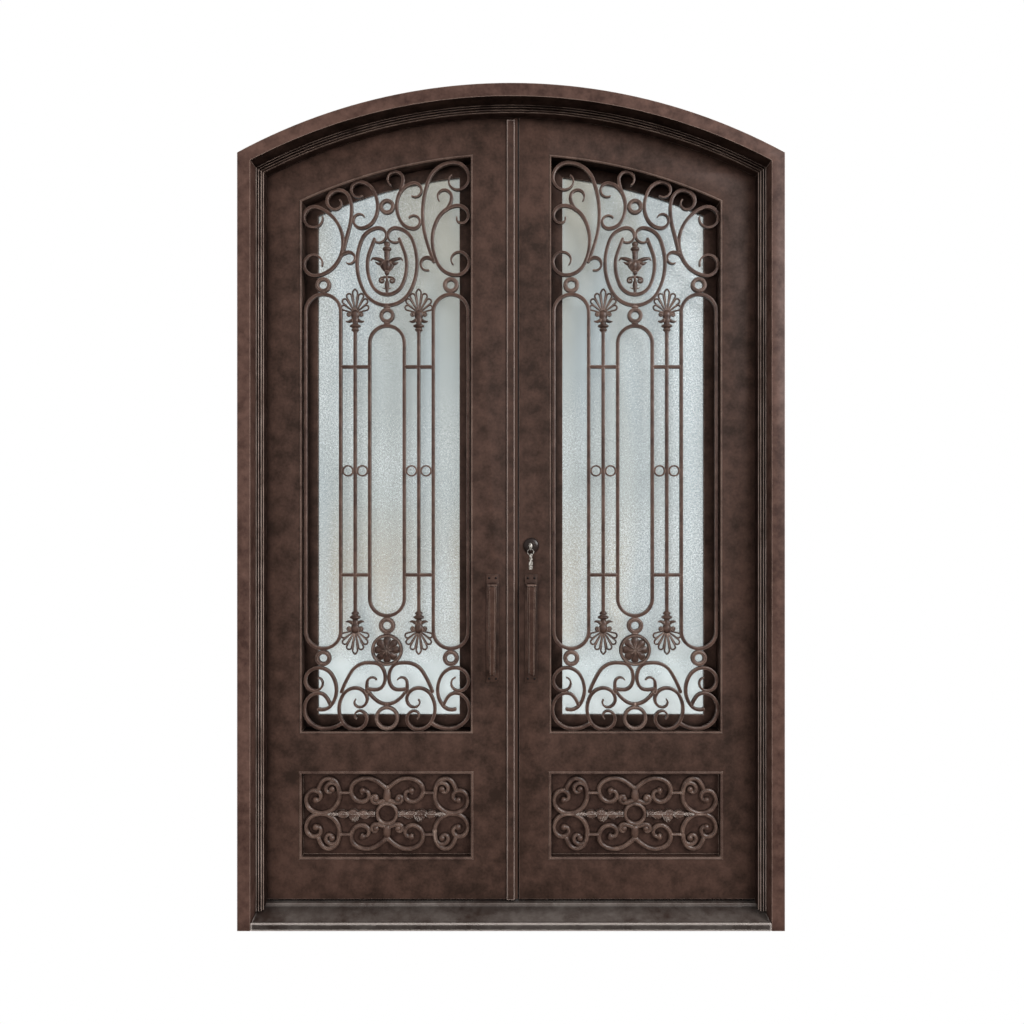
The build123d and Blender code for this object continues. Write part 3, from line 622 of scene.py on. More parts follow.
def sweep_bar(bm, line, front, back, closed=False, crown=0.12, round_share=0.42):
    """A bar along (x, z, heading, half width) stations, with softened ends."""
    if not closed:
        ends = []
        for (x, z, heading, half), way in ((line[0], -0.5), (line[-1], 0.5)):
            ahead = half * way
            ends.append((x + ahead * cos(radians(heading)), z + ahead * sin(radians(heading)), heading, half * 0.6))
        line = [ends[0], *line, ends[1]]
    rings = []
    for x, z, heading, half in line:
        across_x, across_z = -sin(radians(heading)), cos(radians(heading))
        section = bar_section(half, front, back, crown, round_share)
        rings.append([(x + u * across_x, y, z + u * across_z) for u, y in section])
    skin(bm, rings, closed)


def scroll_bar(bm, points, width, front, back, tip, **shape):
    """A bar bent along a scroll, drawn out to the width of its tip where it ends in a curl."""
    first = tip if len(points[0]) > 3 else None
    last = tip if len(points[-1]) > 3 else None
    sweep_bar(bm, stations(scroll(*points), width, first, last), front, back, **shape)


def straight(bm, x0, z0, x1, z1, width, front, back, **shape):
    """A straight bar between two points."""
    heading = degrees(atan2(z1 - z0, x1 - x0))
    sweep_bar(bm, [(x0, z0, heading, width / 2), (x1, z1, heading, width / 2)], front, back, **shape)


def ring(bm, x, z, outside, inside, front, back, **shape):
    """A ring of bar, from its outer and inner diameter."""
    radius, half, count = (outside + inside) / 4, (outside - inside) / 4, 40
    angles = [360 * i / count for i in range(count)]
    line = [(*on_circle(x, z, radius, angle), angle + 90, half) for angle in angles]
    sweep_bar(bm, line, front, back, True, **shape)


def loop(bm, x, half, bottom, top, width, front, back):
    """A long ring with round ends."""
    line = []
    for middle, first in ((top - half, 0), (bottom + half, 180)):
        for i in range(25):
            angle = first + 7.5 * i
            line.append((*on_circle(x, middle, half, angle), angle + 90, width / 2))
    sweep_bar(bm, line, front, back, True)


def shares(count):
    """Evenly spread shares from 0 to 1."""
    return [i / (count - 1) for i in range(count)]


def around(count):
    """Cosine and sine of evenly spread directions."""
    return [(cos(2 * pi * i / count), sin(2 * pi * i / count)) for i in range(count)]


def turned(bm, x, y, profile, flat=1.0, count=20, closed=False):
    """An upright turned form with an oval section, from (z, radius) pairs."""
    rings = [[(x + radius * c, y + flat * radius * s, z) for c, s in around(count)] for z, radius in profile]
    skin(bm, rings, closed)


def faced(bm, x, z, profile, count=48):
    """A turned form whose axis runs along y, from (y, radius) pairs."""
    skin(bm, [[(x + radius * c, y, z + radius * s) for c, s in around(count)] for y, radius in profile])


def ball(bm, x, y, z, rx, ry, rz):
    """An ellipsoid with very small flat poles."""
    rings = []
    for i in range(9):
        height, spread = cos(pi * i / 8), max(sin(pi * i / 8), 0.04)
        rings.append([(x + rx * spread * c, y + ry * spread * s, z + rz * height) for c, s in around(14)])
    skin(bm, rings)


def wire(bm, points, closed=False):
    """A round rod through (x, y, z, radius) points that lie about upright in the plane of the door."""
    rings = []
    last = len(points) - 1
    for i, (x, y, z, radius) in enumerate(points):
        before, after = points[max(i - 1, 0)], points[min(i + 1, last)]
        if closed:
            before, after = points[i - 1], points[(i + 1) % len(points)]
        heading = atan2(after[2] - before[2], after[0] - before[0])
        ux, uz = -sin(heading), cos(heading)
        rings.append([(x + radius * c * ux, y + radius * s, z + radius * c * uz) for c, s in around(8)])
    skin(bm, rings, closed)


def merge(bm, part):
    """Adds a form to another and frees it."""
    mesh = bpy.data.meshes.new("part")
    part.to_mesh(mesh)
    part.free()
    bm.from_mesh(mesh)
    bpy.data.meshes.remove(mesh)


def placed(bm, build, x, z, angle=0):
    """Builds a form round the origin, then turns it and moves it into place."""
    part = bmesh.new()
    build(part)
    part.transform(Matrix.Translation((x * MM, 0, z * MM)) @ Matrix.Rotation(radians(-angle), 4, "Y"))
    merge(bm, part)


def add_image(bm, matrix):
    """Adds to a form its image under a matrix."""
    original = bm.copy()
    bm.transform(matrix)
    merge(bm, original)


def both_sides(build):
    """Builds a form and its mirror image about the window's middle."""
    part = bmesh.new()
    build(part)
    add_image(part, mirror)
    return part


def to_leaf(bm):
    """Moves what is drawn round the middle of the left window to the right leaf, mirrored."""
    bm.transform(Matrix.Translation((hole_middle * MM, 0, 0)) @ mirror)


def shade(bm, angle):
    """Smooth shading, with sharp edges where faces meet at more than an angle."""
    bmesh.ops.recalc_face_normals(bm, faces=bm.faces)
    for face in bm.faces:
        face.smooth = True
    for edge in bm.edges:
        edge.smooth = not (edge.is_manifold and edge.calc_face_angle(0) > radians(angle))


def make_piece(name, bm, material, body, replaced=(), slot="leaf_paint", angle=38):
    """Turns a bmesh into a piece that rides on a body and stands for the nodes it replaces."""
    shade(bm, angle)
    mesh = bpy.data.meshes.new(name)
    bm.to_mesh(mesh)
    mesh.materials.append(material)
    piece = bpy.data.objects.new(name, mesh)
    bpy.context.scene.collection.objects.link(piece)
    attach(piece, body)
    if replaced:
        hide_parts(*replaced)
    return piece


def leaf_pair(name, bm, material, replaced, **options):
    """The piece of the right leaf as drawn, and its mirror image on the left leaf."""
    pieces = []
    for side in ("right", "left"):
        if side == "left":
            bm.transform(mirror)
        names = [f"{side}_{node}" for node in replaced]
        pieces.append(make_piece(f"{side}_{name}", bm, material, side + "_leaf", names, **options))
    bm.free()
    return pieces


def paint_shade_on_undersides(piece, head=inf):
    """Painted shade: darker paint on the faces that look down, and on those that look forward above the height of a
    head.
    """
    piece.data.materials.append(undersides_painted_shade())
    for face in piece.data.polygons:
        looks_down = face.normal.z < -0.7 and face.center.z > lowest_soffit * MM
        if looks_down or face.center.z > head * MM and face.normal.y < -0.5:
            face.material_index = 1


# Outlines

def arch_at(x, radius):
    """Height of an arch of that radius."""
    return arch_z + sqrt(radius ** 2 - x ** 2)


def arch_points(x0, x1, radius):
    """Points along an arch, from one x to another."""
    xs = [x0 + (x1 - x0) * i / arch_steps for i in range(arch_steps + 1)]
    return [(x, arch_at(x, radius)) for x in xs]


def rectangle(x0, x1, z0, z1):
    """Corners of an upright rectangle."""
    return [(x0, z0), (x1, z0), (x1, z1), (x0, z1)]


def window_outline(inset):
    """The arched window of the right leaf, or one that lies that far inside it."""
    low, high = hole_inner + inset, hole_outer - inset
    bottom = hole_bottom + inset
    return [(low, bottom), (high, bottom)] + arch_points(high, low, hole_radius - inset)


def kick_outline(outset):
    """The kick recess of the right leaf, or a rectangle that lies that far outside it."""
    return rectangle(hole_inner - outset, hole_outer + outset, kick_bottom - outset, kick_top + outset)


def frame_outline(outset):
    """From the foot of the left jamb over the arch to the foot of the right jamb."""
    x = jamb_inside + outset
    return [(-x, 0)] + arch_points(-x, x, face_radius + outset) + [(x, 0)]


def rounded(width, front, back, radius):
    """A rectangular profile with rounded corners, for band()."""
    c, k = radius / width, 0.3
    return [(0, front + radius), (k * c, front + k * radius), (c, front), (1 - c, front),
            (1 - k * c, front + k * radius), (1, front + radius), (1, back - radius),
            (1 - k * c, back - k * radius), (1 - c, back), (c, back), (k * c, back - k * radius),
            (0, back - radius)]


def plate(outlines, front, back, arris):
    """A flat plate with rounded arrises; the first outline is its edge and the others are holes."""
    curve = bpy.data.curves.new("plate", "CURVE")
    curve.dimensions = "2D"
    curve.fill_mode = "BOTH"
    curve.extrude = ((back - front) / 2 - arris) * MM
    curve.bevel_depth = arris * MM
    curve.bevel_resolution = 1
    curve.offset = -arris * MM
    for outline in outlines:
        spline = curve.splines.new("POLY")
        spline.points.add(len(outline) - 1)
        for point, (x, z) in zip(spline.points, outline):
            point.co = (x * MM, z * MM, 0, 1)
        spline.use_cyclic_u = True
    holder = bpy.data.objects.new("plate", curve)
    mesh = bpy.data.meshes.new_from_object(holder)
    bm = bmesh.new()
    bm.from_mesh(mesh)
    middle = (front + back) / 2 * MM
    bm.transform(Matrix.Translation((0, middle, 0)) @ Matrix.Rotation(pi / 2, 4, "X"))
    bmesh.ops.remove_doubles(bm, verts=bm.verts, dist=weld_distance)
    bpy.data.objects.remove(holder)
    bpy.data.curves.remove(curve)
    bpy.data.meshes.remove(mesh)
    return bm


def finish_node(name, material, arris=0.0):
    """Gives a node of the model its material, and softens its edges."""
    node = nodes[name]
    node.data.materials.clear()
    node.data.materials.append(material)
    if arris:
        weld = node.modifiers.new("weld", "WELD")
        weld.merge_threshold = weld_distance
        bevel = node.modifiers.new("arris", "BEVEL")
        bevel.width = arris * MM
        bevel.segments = 2
        bevel.limit_method = "ANGLE"
        bevel.angle_limit = radians(35)
        bevel.harden_normals = True


# Castings, drawn round the middle of the window or round their own root

def shell(bm):
    """Petals on a capital with two volutes, a pair of leaves and two collars; the petals' root is at 0, 0."""
    radius = 7.4
    for angle, length in ((0, 69), (20, 62), (-20, 62), (42, 55), (-42, 55), (66, 46), (-66, 46)):
        reach = length - 2 - radius
        lean = asin(radius / reach)
        edge = [(radius * cos(lean) * share, (reach - radius * sin(lean)) * share) for share in shares(9)[1:-1]]
        head = []
        for i in range(13):
            a = pi + lean - (pi + 2 * lean) * i / 12
            pointed = 1 + (0.45 * max(0, sin(a)) ** 6 if angle == 0 else 0)
            head.append((radius * cos(a), reach + radius * sin(a) * pointed))
        c, s = cos(radians(angle)), sin(radians(angle))
        points = []
        for u, v in [(-u, v) for u, v in edge] + head + edge[::-1]:
            share = v / length
            points.append((u * c + v * s, cast_y + 1.5 - 4 * share ** 2, -u * s + v * c, 2.2 + 0.6 * share))
        wire(bm, points, closed=True)
    turned(bm, 0, cast_y + 1, capital_profile, flat=0.72)
    for side in (-1, 1):
        volute = []
        for i in range(26):
            x, z = on_circle(17.5, -6, 7.6 - 0.27 * i, 200 - 24 * i)
            volute.append((side * x, cast_y - 1 - 0.1 * i, z, 3.4 - 0.05 * i))
        wire(bm, volute)
        ball(bm, side * 17.5, cast_y - 3, -6, 3.6, 3.8, 3.6)
        wire(bm, [(side * (7 + 21 * t), cast_y - 3 * t, -21 - 8 * sin(pi * t * 0.62) + 3 * t * t,
                   5 * (1 - t) ** 0.6 + 1) for t in shares(9)])


def rosette(bm):
    """A ring round a flower of eight domed petals, with a smaller star and a boss on top."""
    ring(bm, 0, 0, 96, 76, grille_front - 1, grille_back, crown=0.3, round_share=0.8)
    steps, turns = 14, 128
    rows = []
    for k in range(turns):
        a = 2 * pi * k / turns
        outer = abs(cos(4 * a)) ** 0.5
        star = 12 + 9 * abs(sin(4 * a)) ** 0.6
        row = []
        for share in shares(steps + 1):
            reach = (28.5 + 10.5 * outer) * share
            height = 2.5 + 5.0 * outer * sin(pi * min(1, share * 1.02)) ** 0.7
            if reach < star:
                height += 3.0 * (1 - (reach / star) ** 4)
            if reach < 10:
                height += 3.2 * sqrt(1 - (reach / 10) ** 2)
            row.append((reach * cos(a), grille_back - 5 - height, reach * sin(a)))
        rows.append(row)
    front = [[put(bm, *p) for p in row[1:]] for row in rows]
    centre = put(bm, *rows[0][0])
    rear = [put(bm, row[-1][0], grille_back - 2, row[-1][2]) for row in rows]
    hub = put(bm, 0, grille_back - 2, 0)
    for k in range(turns):
        j = (k + 1) % turns
        bm.faces.new((centre, front[k][0], front[j][0]))
        for i in range(steps - 1):
            bm.faces.new((front[k][i], front[k][i + 1], front[j][i + 1], front[j][i]))
        bm.faces.new((front[k][-1], rear[k], rear[j], front[j][-1]))
        bm.faces.new((rear[k], hub, rear[j]))


def drop(bm):
    """The casting in the oval: collars, a pair of wings, a fluted skirt, a knob and two curls on a stem."""
    for profile in drop_profiles:
        turned(bm, 0, cast_y, profile, flat=0.75)
    skirt = []
    for z, radius in skirt_profile:
        row = []
        for i in range(40):
            a = 2 * pi * i / 40
            flute = 1 + 0.12 * cos(9 * a) * min(1, (skirt_profile[0][0] - z) / 12)
            row.append((radius * flute * cos(a), cast_y + 0.42 * radius * flute * sin(a), z))
        skirt.append(row)
    skin(bm, skirt)
    ball(bm, 0, cast_y - 1, 1922, 7.5, 6, 7.5)
    turned(bm, 0, cast_y + 1, stem_profile, flat=0.8)
    for side in (-1, 1):
        wing = []
        for t in shares(15):
            z = 1952 + 9 * sin(pi * t * 0.9) + 12 * t ** 3 - 9 * max(0, t - 0.86) / 0.14
            thick = 6.2 * (1 - t) ** 0.5 * (0.8 + 0.35 * sin(pi * t)) + 1.2
            wing.append((side * (4 + 45 * t), cast_y - 2 * sin(pi * t), z, thick))
        wire(bm, wing)
        wire(bm, [(side * (10 + 25 * t), cast_y - 3, 1954 - 6 * sin(pi * t), 4.6 * sin(pi * (0.15 + 0.8 * t)) + 0.5)
                  for t in shares(9)])
        stem = [(side * 2, cast_y, 1910, 3.2), (side * 8, cast_y, 1909, 3.8)]
        for i in range(24):
            x, z = on_circle(15, 1899, 8.5 - 0.28 * i, 100 - 22 * i)
            stem.append((side * x, cast_y, z, 3.9 - 0.05 * i))
        wire(bm, stem)
        wire(bm, [(side * (3 + 11 * i / 5), cast_y, 1876 - 5 * i / 5 + 7 * (i / 5) ** 2, 2.6 - 0.35 * i)
                  for i in range(6)])


def lobe_reach(t, lobes):
    """Reach of a lobed edge at a share of the leaf's length, from the places and peaks of its lobes."""
    heights = [peak * max(0.0, 1 - ((t - at) / 0.125) ** 2) ** 0.6 for at, peak in lobes]
    return max(2.5 * min(1, 8 * t + 0.2), *heights)


def acanthus(bm):
    """The left leaf on the kick panel: lobed edges, a rib and slanting veins, from its tip to the ring."""
    start, end = -177.0, -36.0
    rings = []
    for t in shares(111):
        x = start + (end - start) * t
        top, low = lobe_reach(t, upper_lobes), lobe_reach(t, lower_lobes)
        ring_points = []
        for across in shares(15):
            s = -1 + 2 * across
            reach = s * (top if s > 0 else low)
            strength = 1.1 + 1.4 * exp(-((t - 0.56) / 0.1) ** 2) * (s < 0)
            vein = strength * sin(2 * pi * (t * 17 + abs(s) * 1.5)) * min(1, abs(s) * 2) * (1 - abs(s) ** 6)
            dome = 6.5 * (1 - s ** 4) ** 0.5 + 1.4 * max(0, 1 - abs(s) * 6)
            ring_points.append((x, 26.5 - dome - vein, kick_middle + reach))
        ring_points += [(x, 30.5, kick_middle + top), (x, 30.5, kick_middle - low)]
        rings.append(ring_points)
    skin(bm, rings)


def stop_profile():
    """Profile of the stop moulding from its free edge to the jamb, and the numbers of its crests' sides."""
    profile, crests = [(0, stop_front + 1.5), (0.05, stop_front)], [0]
    # Ribs with deep grooves between them
    for middle in (0.26, 0.62, 0.93):
        for away, depth in ((-0.13, 0), (-0.12, 8), (-0.07, 8), (-0.05, -2.5), (-0.02, -4.5), (0.05, -4.5),
                            (0.065, -2.5)):
            profile.append((middle + away, stop_front + depth))
        crests += [len(profile) - 4, len(profile) - 3, len(profile) - 2]
    return profile + [(1, stop_front - 2.5), (1, stop_back), (0, stop_back)], crests


class IRONDOOR_OT_frame(bpy.types.Operator):
    """Build the arched frame and the ribbed stop moulding, and finish the sill"""
    bl_idname = "iron_door.frame"
    bl_label = "Frame"

    def execute(self, context):
        bm = bmesh.new()
        arris = settings().arris / MM
        band(bm, frame_outline(0), frame_outline(frame_face), rounded(frame_face, frame_front, frame_back, arris))
        paint_shade_on_undersides(make_piece("door_frame", bm, frame_paint(), "frame",
                                   ("left_jamb", "right_jamb", "arch_head"), "frame_paint"))
        bm.free()
        bm = bmesh.new()
        profile, crests = stop_profile()
        band(bm, frame_outline(-stop_reach), frame_outline(0), profile, marked=crests)
        # The feet follow the slope of the sill
        slope = stop_back - sill_slope_start
        for vert in bm.verts:
            if vert.co.z < 1 * MM:
                y = vert.co.y / MM
                vert.co.z = (sill_low + (sill_high - sill_low) * (y - sill_slope_start) / slope) * MM
        # Crests under the arch get painted shade; the others keep their painted highlight
        for face in bm.faces:
            if face.material_index and face.calc_center_median().z > shaded_height * MM:
                face.material_index = 2
        stops = make_piece("stop_moulding", bm, stops_painted_shade(), "frame",
                           ("left_stop_moulding", "right_stop_moulding", "head_stop_moulding"), angle=25)
        stops.data.materials.append(crests_painted_highlight())
        stops.data.materials.append(crests_painted_shade())
        bm.free()
        finish_node("threshold", sill_paint(), 2.5)
        return {"FINISHED"}


class IRONDOOR_OT_leaves(bpy.types.Operator):
    """Build the welded stiles and rails of both leaves, the beads on them and the meeting edge"""
    bl_idname = "iron_door.leaves"
    bl_label = "Leaves"

    def execute(self, context):
        arris = settings().arris / MM
        for side, reach in (("right", right_reach), ("left", left_reach)):
            edge = pivot_x - reach
            outline = [(edge, leaf_bottom), (leaf_edge, leaf_bottom)] + arch_points(leaf_edge, edge, leaf_radius)
            bm = plate([outline, window_outline(0), kick_outline(0)], leaf_front, leaf_back, arris)
            # The meeting edge is rounded about the leaf's own pivot
            for vert in bm.verts:
                if abs(vert.co.x / MM - edge) < 3:
                    swung = reach - sqrt(reach ** 2 - (pivot_y - vert.co.y / MM) ** 2)
                    vert.co.x += swung * MM
            if side == "left":
                bm.transform(mirror)
            replaced = ("hinge_stile", "lock_stile", "top_rail", "middle_rail", "bottom_rail")
            paint_shade_on_undersides(make_piece(side + "_stiles_and_rails", bm, leaf_paint(), side + "_leaf",
                                       [f"{side}_{node}" for node in replaced], angle=30))
            bm.free()
        bead = [(share, leaf_front + depth) for share, depth in (
            (0, 0), (0.2, -2.0), (0.36, -2.8), (0.64, -2.8), (0.8, -2.0), (1, 0), (1, 0.5), (0, 0.5))]
        bm = bmesh.new()
        band(bm, window_outline(0), window_outline(-6), bead, True)
        band(bm, kick_outline(0), kick_outline(8), bead, True)
        leaf_pair("beads", bm, bead_paint(), ("front_mouldings",), angle=30)
        for side in ("left", "right"):
            finish_node(side + "_kick_panel", recess_paint())
        finish_node("left_meeting_strip", strip_paint(), 2.6)
        # A soft bulb of rubber that closes the joint but for a dark line beside the right leaf
        bm = bmesh.new()
        bulb = [(11.5, 12), (16.5, 11), (19.5, 12), (20.8, 15), (20.2, 18.5), (17.5, 20.5), (11.5, 20)]
        skin(bm, [[(x, y, z) for x, y in bulb] for z in (leaf_bottom, arch_at(18, leaf_radius))])
        make_piece("meeting_bulb_seal", bm, seal_rubber(), "left_leaf", ("left_meeting_seal",), "seal_rubber", 60)
        bm.free()
        return {"FINISHED"}


class IRONDOOR_OT_windows(bpy.types.Operator):
    """Build the sashes behind the grilles and finish the textured glass"""
    bl_idname = "iron_door.windows"
    bl_label = "Windows"

    def execute(self, context):
        bm = bmesh.new()
        profile = rounded(sash_inset + sash_lap, leaf_back, sash_back, 1.5)
        band(bm, window_outline(sash_inset), window_outline(-sash_lap), profile, True)
        for piece in leaf_pair("window_frame", bm, leaf_paint(), ("window_sash",)):
            paint_shade_on_undersides(piece, window_head)
        glass = rain_glass()
        for side in ("left", "right"):
            finish_node(side + "_window_glass", glass)
        return {"FINISHED"}


def rings_and_knots(bm, rings, knots):
    """Rings of rounded bar, and the knots of weld over and under the ones in the middle."""
    for x, z, outside, inside in rings:
        ring(bm, x, z, outside, inside, grille_front, grille_back, crown=0.3, round_share=0.6)
    for z in knots:
        ball(bm, 0, grille_middle, z, 11, 6.5, 7)


class IRONDOOR_OT_grilles(bpy.types.Operator):
    """Bend the scrolls, loops and rods of the grilles"""
    bl_idname = "iron_door.grilles"
    bl_label = "Grilles"

    def execute(self, context):
        width = settings().bar_width / MM
        flat = (width, grille_front, grille_back)

        def bend(part, scrolls):
            for points in scrolls:
                scroll_bar(part, points, *flat, tip=4)

        bm = bmesh.new()
        loop(bm, 0, loop_half, loop_bottom, loop_top, *flat)
        side_inner = side_x - side_half
        for side in (-1, 1):
            loop(bm, side * side_x, side_half, side_bottom, side_top, *flat)
            straight(bm, side * rod_x, rod_bottom, side * rod_x, rod_top, *flat)
            for z in cross_heights:
                straight(bm, side * loop_half, z, side * side_inner, z, *flat)
            for near, far in ((loop_half, rod_x), (rod_x, side_inner)):
                across = far - near - width + 1
                ring(bm, side * (near + far) / 2, small_ring_height, across, across - 9,
                     grille_front + 1, grille_back - 1)
        to_leaf(bm)
        leaf_pair("grille_loops", bm, grille_paint(), ("grille_bars",))
        bm = bmesh.new()
        bend(bm, top_scrolls)
        merge(bm, both_sides(lambda part: bend(part, oval_scrolls)))
        rings_and_knots(bm, crown_rings, crown_knots)
        to_leaf(bm)
        leaf_pair("grille_crown", bm, grille_paint(), ("grille_top_scrolls",))
        bm = both_sides(lambda part: bend(part, bottom_scrolls))
        for side in (-1, 1):
            ball(bm, side * 60, grille_middle, 665, 8.5, 5.8, 9)
        rings_and_knots(bm, foot_rings, foot_knots)
        to_leaf(bm)
        leaf_pair("grille_foot", bm, grille_paint(), ("grille_bottom_scrolls",))
        return {"FINISHED"}


class IRONDOOR_OT_castings(bpy.types.Operator):
    """Model the shells, the rosettes and the hanging drops"""
    bl_idname = "iron_door.castings"
    bl_label = "Castings"

    def execute(self, context):
        bm = bmesh.new()
        for side in (-1, 1):
            placed(bm, shell, side * rod_x, upper_shell_height)
            placed(bm, shell, side * rod_x, lower_shell_height, 180)
        placed(bm, rosette, 0, rosette_height)
        drop(bm)
        to_leaf(bm)
        leaf_pair("castings", bm, casting_paint(), ("grille_castings",), angle=60)
        return {"FINISHED"}


class IRONDOOR_OT_kick_panels(bpy.types.Operator):
    """Model the scrolls and leaves on the kick panels"""
    bl_idname = "iron_door.kick_panels"
    bl_label = "Kick panels"

    def execute(self, context):
        width = settings().kick_bar_width / MM
        soft = {"crown": 0.5, "round_share": 0.8}

        def quarter(part):
            for points in kick_scrolls:
                scroll_bar(part, points, width, kick_front + 1, kick_back, tip=10.5, **soft)
            for x, z in (kick_scrolls[0][0][:2], *(points[-1][:2] for points in kick_scrolls[1:])):
                ball(part, x, 25.5, z, 10, 9.5, 10)
            bar_z = kick_middle + 62.5
            straight(part, -145, bar_z, -109, bar_z, 9.5, kick_front + 1, kick_back, **soft)

        top = both_sides(quarter)
        turned(top, 0, 27, [(kick_middle + z, radius) for z, radius in vase_profile], flat=0.8)
        add_image(top, Matrix.Translation((0, 0, 2 * kick_middle * MM)) @ Matrix.Scale(-1, 4, (0, 0, 1)))
        ring(top, 0, kick_middle, 71, 48, kick_front, kick_back, **soft)
        to_leaf(top)
        leaf_pair("kick_ornament", top, ornament_paint(), ("kick_scrolls",), angle=60)
        leaves = both_sides(acanthus)
        to_leaf(leaves)
        leaf_pair("kick_leaves", leaves, leafwork_paint(), (), angle=50)
        return {"FINISHED"}


def pull_plate(bm, screws, x, face, outwards):
    """A back plate, and the heads of its four screws."""
    outline = rectangle(x - plate_half_width, x + plate_half_width, pull_height - plate_half,
                        pull_height + plate_half)
    front, back = sorted((face, face + outwards * plate_thick))
    merge(bm, plate([outline], front, back, 1.2))
    dome = ((-1, 3.4), (0.4, 3.4), (1.2, 2.4), (1.4, 0.3))
    head = [(face + outwards * (plate_thick + out), radius) for out, radius in dome]
    for side in (-1, 1):
        for z in (pull_height - screw_half, pull_height + screw_half):
            faced(screws, x + side * 10, z, head, 16)


def pull_grip(bm, x, face, outwards):
    """A tapered bar that stands off the plate between two feet, with a cap on its head."""
    low, high = pull_height - grip_half, pull_height + grip_half
    thick, reach, bend = 13.0, 52.0, 6.0
    corner = reach - thick / 2 - bend
    quarter = [22.5 * i for i in range(5)]
    # Each step of the path is (distance from the plate, height, angle of the bar's section)
    path = [(0, high - thick / 2, 90)]
    path += [(corner + bend * sin(radians(a)), high - thick / 2 - bend + bend * cos(radians(a)), 90 - a)
             for a in quarter]
    path += [(corner + bend * cos(radians(a)), low + thick / 2 + bend - bend * sin(radians(a)), -a)
             for a in quarter]
    path.append((0, low + thick / 2, -90))
    section = ((-1, -0.25), (-0.72, -1), (0.72, -1), (1, -0.25), (1, 0.55), (0.62, 1), (-0.62, 1), (-1, 0.55))
    rings = []
    for out, z, turned_by in path:
        half = 8.5 + 4.0 * (z - low) / (high - low)
        lean = radians(turned_by)
        rings.append([(x + u * half, face + outwards * (out + v * thick / 2 * cos(lean)),
                       z + v * thick / 2 * sin(lean)) for u, v in section])
    skin(bm, rings)
    rows = []
    for grow, z in ((0, high - 3.5), (1.6, high - 2.8), (1.6, high + 0.4), (0, high + 1.2)):
        near, far, half = reach - 0.4 + grow * 0.5, 4.0, 12.8 + grow
        cap = ((-1, far), (1, far), (1, near - 2.5), (0.8, near), (-0.8, near), (-1, near - 2.5))
        rows.append([(x + side * half, face + outwards * out, z) for side, out in cap])
    skin(bm, rows, marked=range(6))


class IRONDOOR_OT_pulls(bpy.types.Operator):
    """Model the pull handles on both faces of both leaves"""
    bl_idname = "iron_door.pulls"
    bl_label = "Pulls"

    def execute(self, context):
        for side, x in (("left", -left_pull_x), ("right", right_pull_x)):
            grips, plates, screws = bmesh.new(), bmesh.new(), bmesh.new()
            for face, outwards in ((leaf_front, -1), (leaf_back, 1)):
                pull_grip(grips, x, face, outwards)
                pull_plate(plates, screws, x, face, outwards)
            body = side + "_leaf"
            grip = make_piece(side + "_pull_grips", grips, cast_bronze(), body, (side + "_pulls",),
                              "pull_bronze", 25)
            # Painted highlight: the caps take the lighter ornament paint
            grip.data.materials.append(ornament_paint())
            make_piece(side + "_pull_plates", plates, plate_paint(), body, (), "pull_bronze", 25)
            make_piece(side + "_pull_screws", screws, blackened_steel(), body, (), "pull_bronze", 35)
            for bm in (grips, plates, screws):
                bm.free()
        return {"FINISHED"}


class IRONDOOR_OT_lock(bpy.types.Operator):
    """Model the deadbolt's roses, cylinder and thumb turn, and the keys that hang in it"""
    bl_idname = "iron_door.lock"
    bl_label = "Lock and keys"

    def execute(self, context):
        x, z = right_pull_x, lock_height
        bm = bmesh.new()
        faced(bm, x, z, rose_profile)
        faced(bm, x, z, back_rose_profile)
        octagon = ((-1, -0.8), (-0.6, -1), (0.6, -1), (1, -0.8), (1, 0.8), (0.6, 1), (-0.6, 1), (-1, 0.8))
        thumb_turn = ((64, 4, 8), (67, 4, 9), (70, 3.4, 14), (76, 2.6, 17), (83, 2.8, 17.5), (86, 1.8, 16))
        skin(bm, [[(x + half * u, y, z + tall * v) for u, v in octagon] for y, half, tall in thumb_turn])
        make_piece("deadbolt_lock", bm, lock_bronze(), "right_leaf", ("deadbolt",), "pull_bronze", 40)
        bm.free()
        bm = bmesh.new()
        # A key in the lock with its faceted bow edge-on, and a split ring that carries the second key
        bow = ((9, 1.2, 1), (4, 4.4, 2), (1, 6.4, 2.4), (-3, 5, 2.2), (-8, 1.4, 1.6), (-12, 1, 1))
        diamond = ((-1, 0), (0, -1), (1, 0), (0, 1))
        skin(bm, [[(x - 2 + half * u, -8 + deep * v, z + up) for u, v in diamond] for up, half, deep in bow])
        wire(bm, [(x - 2 + 9 * s, -12 + 1.5 * c, z - 17 + 9 * c, 0.7) for c, s in around(36)], closed=True)
        neck = [(0, 4), (4.5, 2), (5.2, -1), (3.2, -6), (2.8, -9), (5, -12), (5, -15), (-5, -15), (-5, -12),
                (-2.8, -9), (-3.2, -6), (-5.2, -1), (-4.5, 2)]
        tag = [(-5.2, -19), (-5.6, -21), (-5.6, -40), (-4, -43), (4, -43), (5.6, -40), (5.6, -21), (5.2, -19)]
        stem = [(-2, -14), (-2, -20), (2, -20), (2, -14)]
        for shape, thick in ((neck, 1.6), (stem, 0.9), (tag, 1.4)):
            skin(bm, [[(x - 1.5 + u * grow, -12 + offset * thick, z - 26 + v) for u, v in shape]
                      for offset, grow in ((-1, 0.92), (-0.7, 1.0), (0.7, 1.0), (1, 0.92))])
        make_piece("lock_keys", bm, nickel_silver(), "right_leaf", ("keys",), "key_steel", 40)
        bm.free()
        return {"FINISHED"}


def knuckle(low, high, bore):
    """(z, radius) pairs of a hinge's knuckle, with small chamfers."""
    chamfer = 0.8
    return [(low, bore), (low, barrel_radius - chamfer), (low + chamfer, barrel_radius),
            (high - chamfer, barrel_radius), (high, barrel_radius - chamfer), (high, bore)]


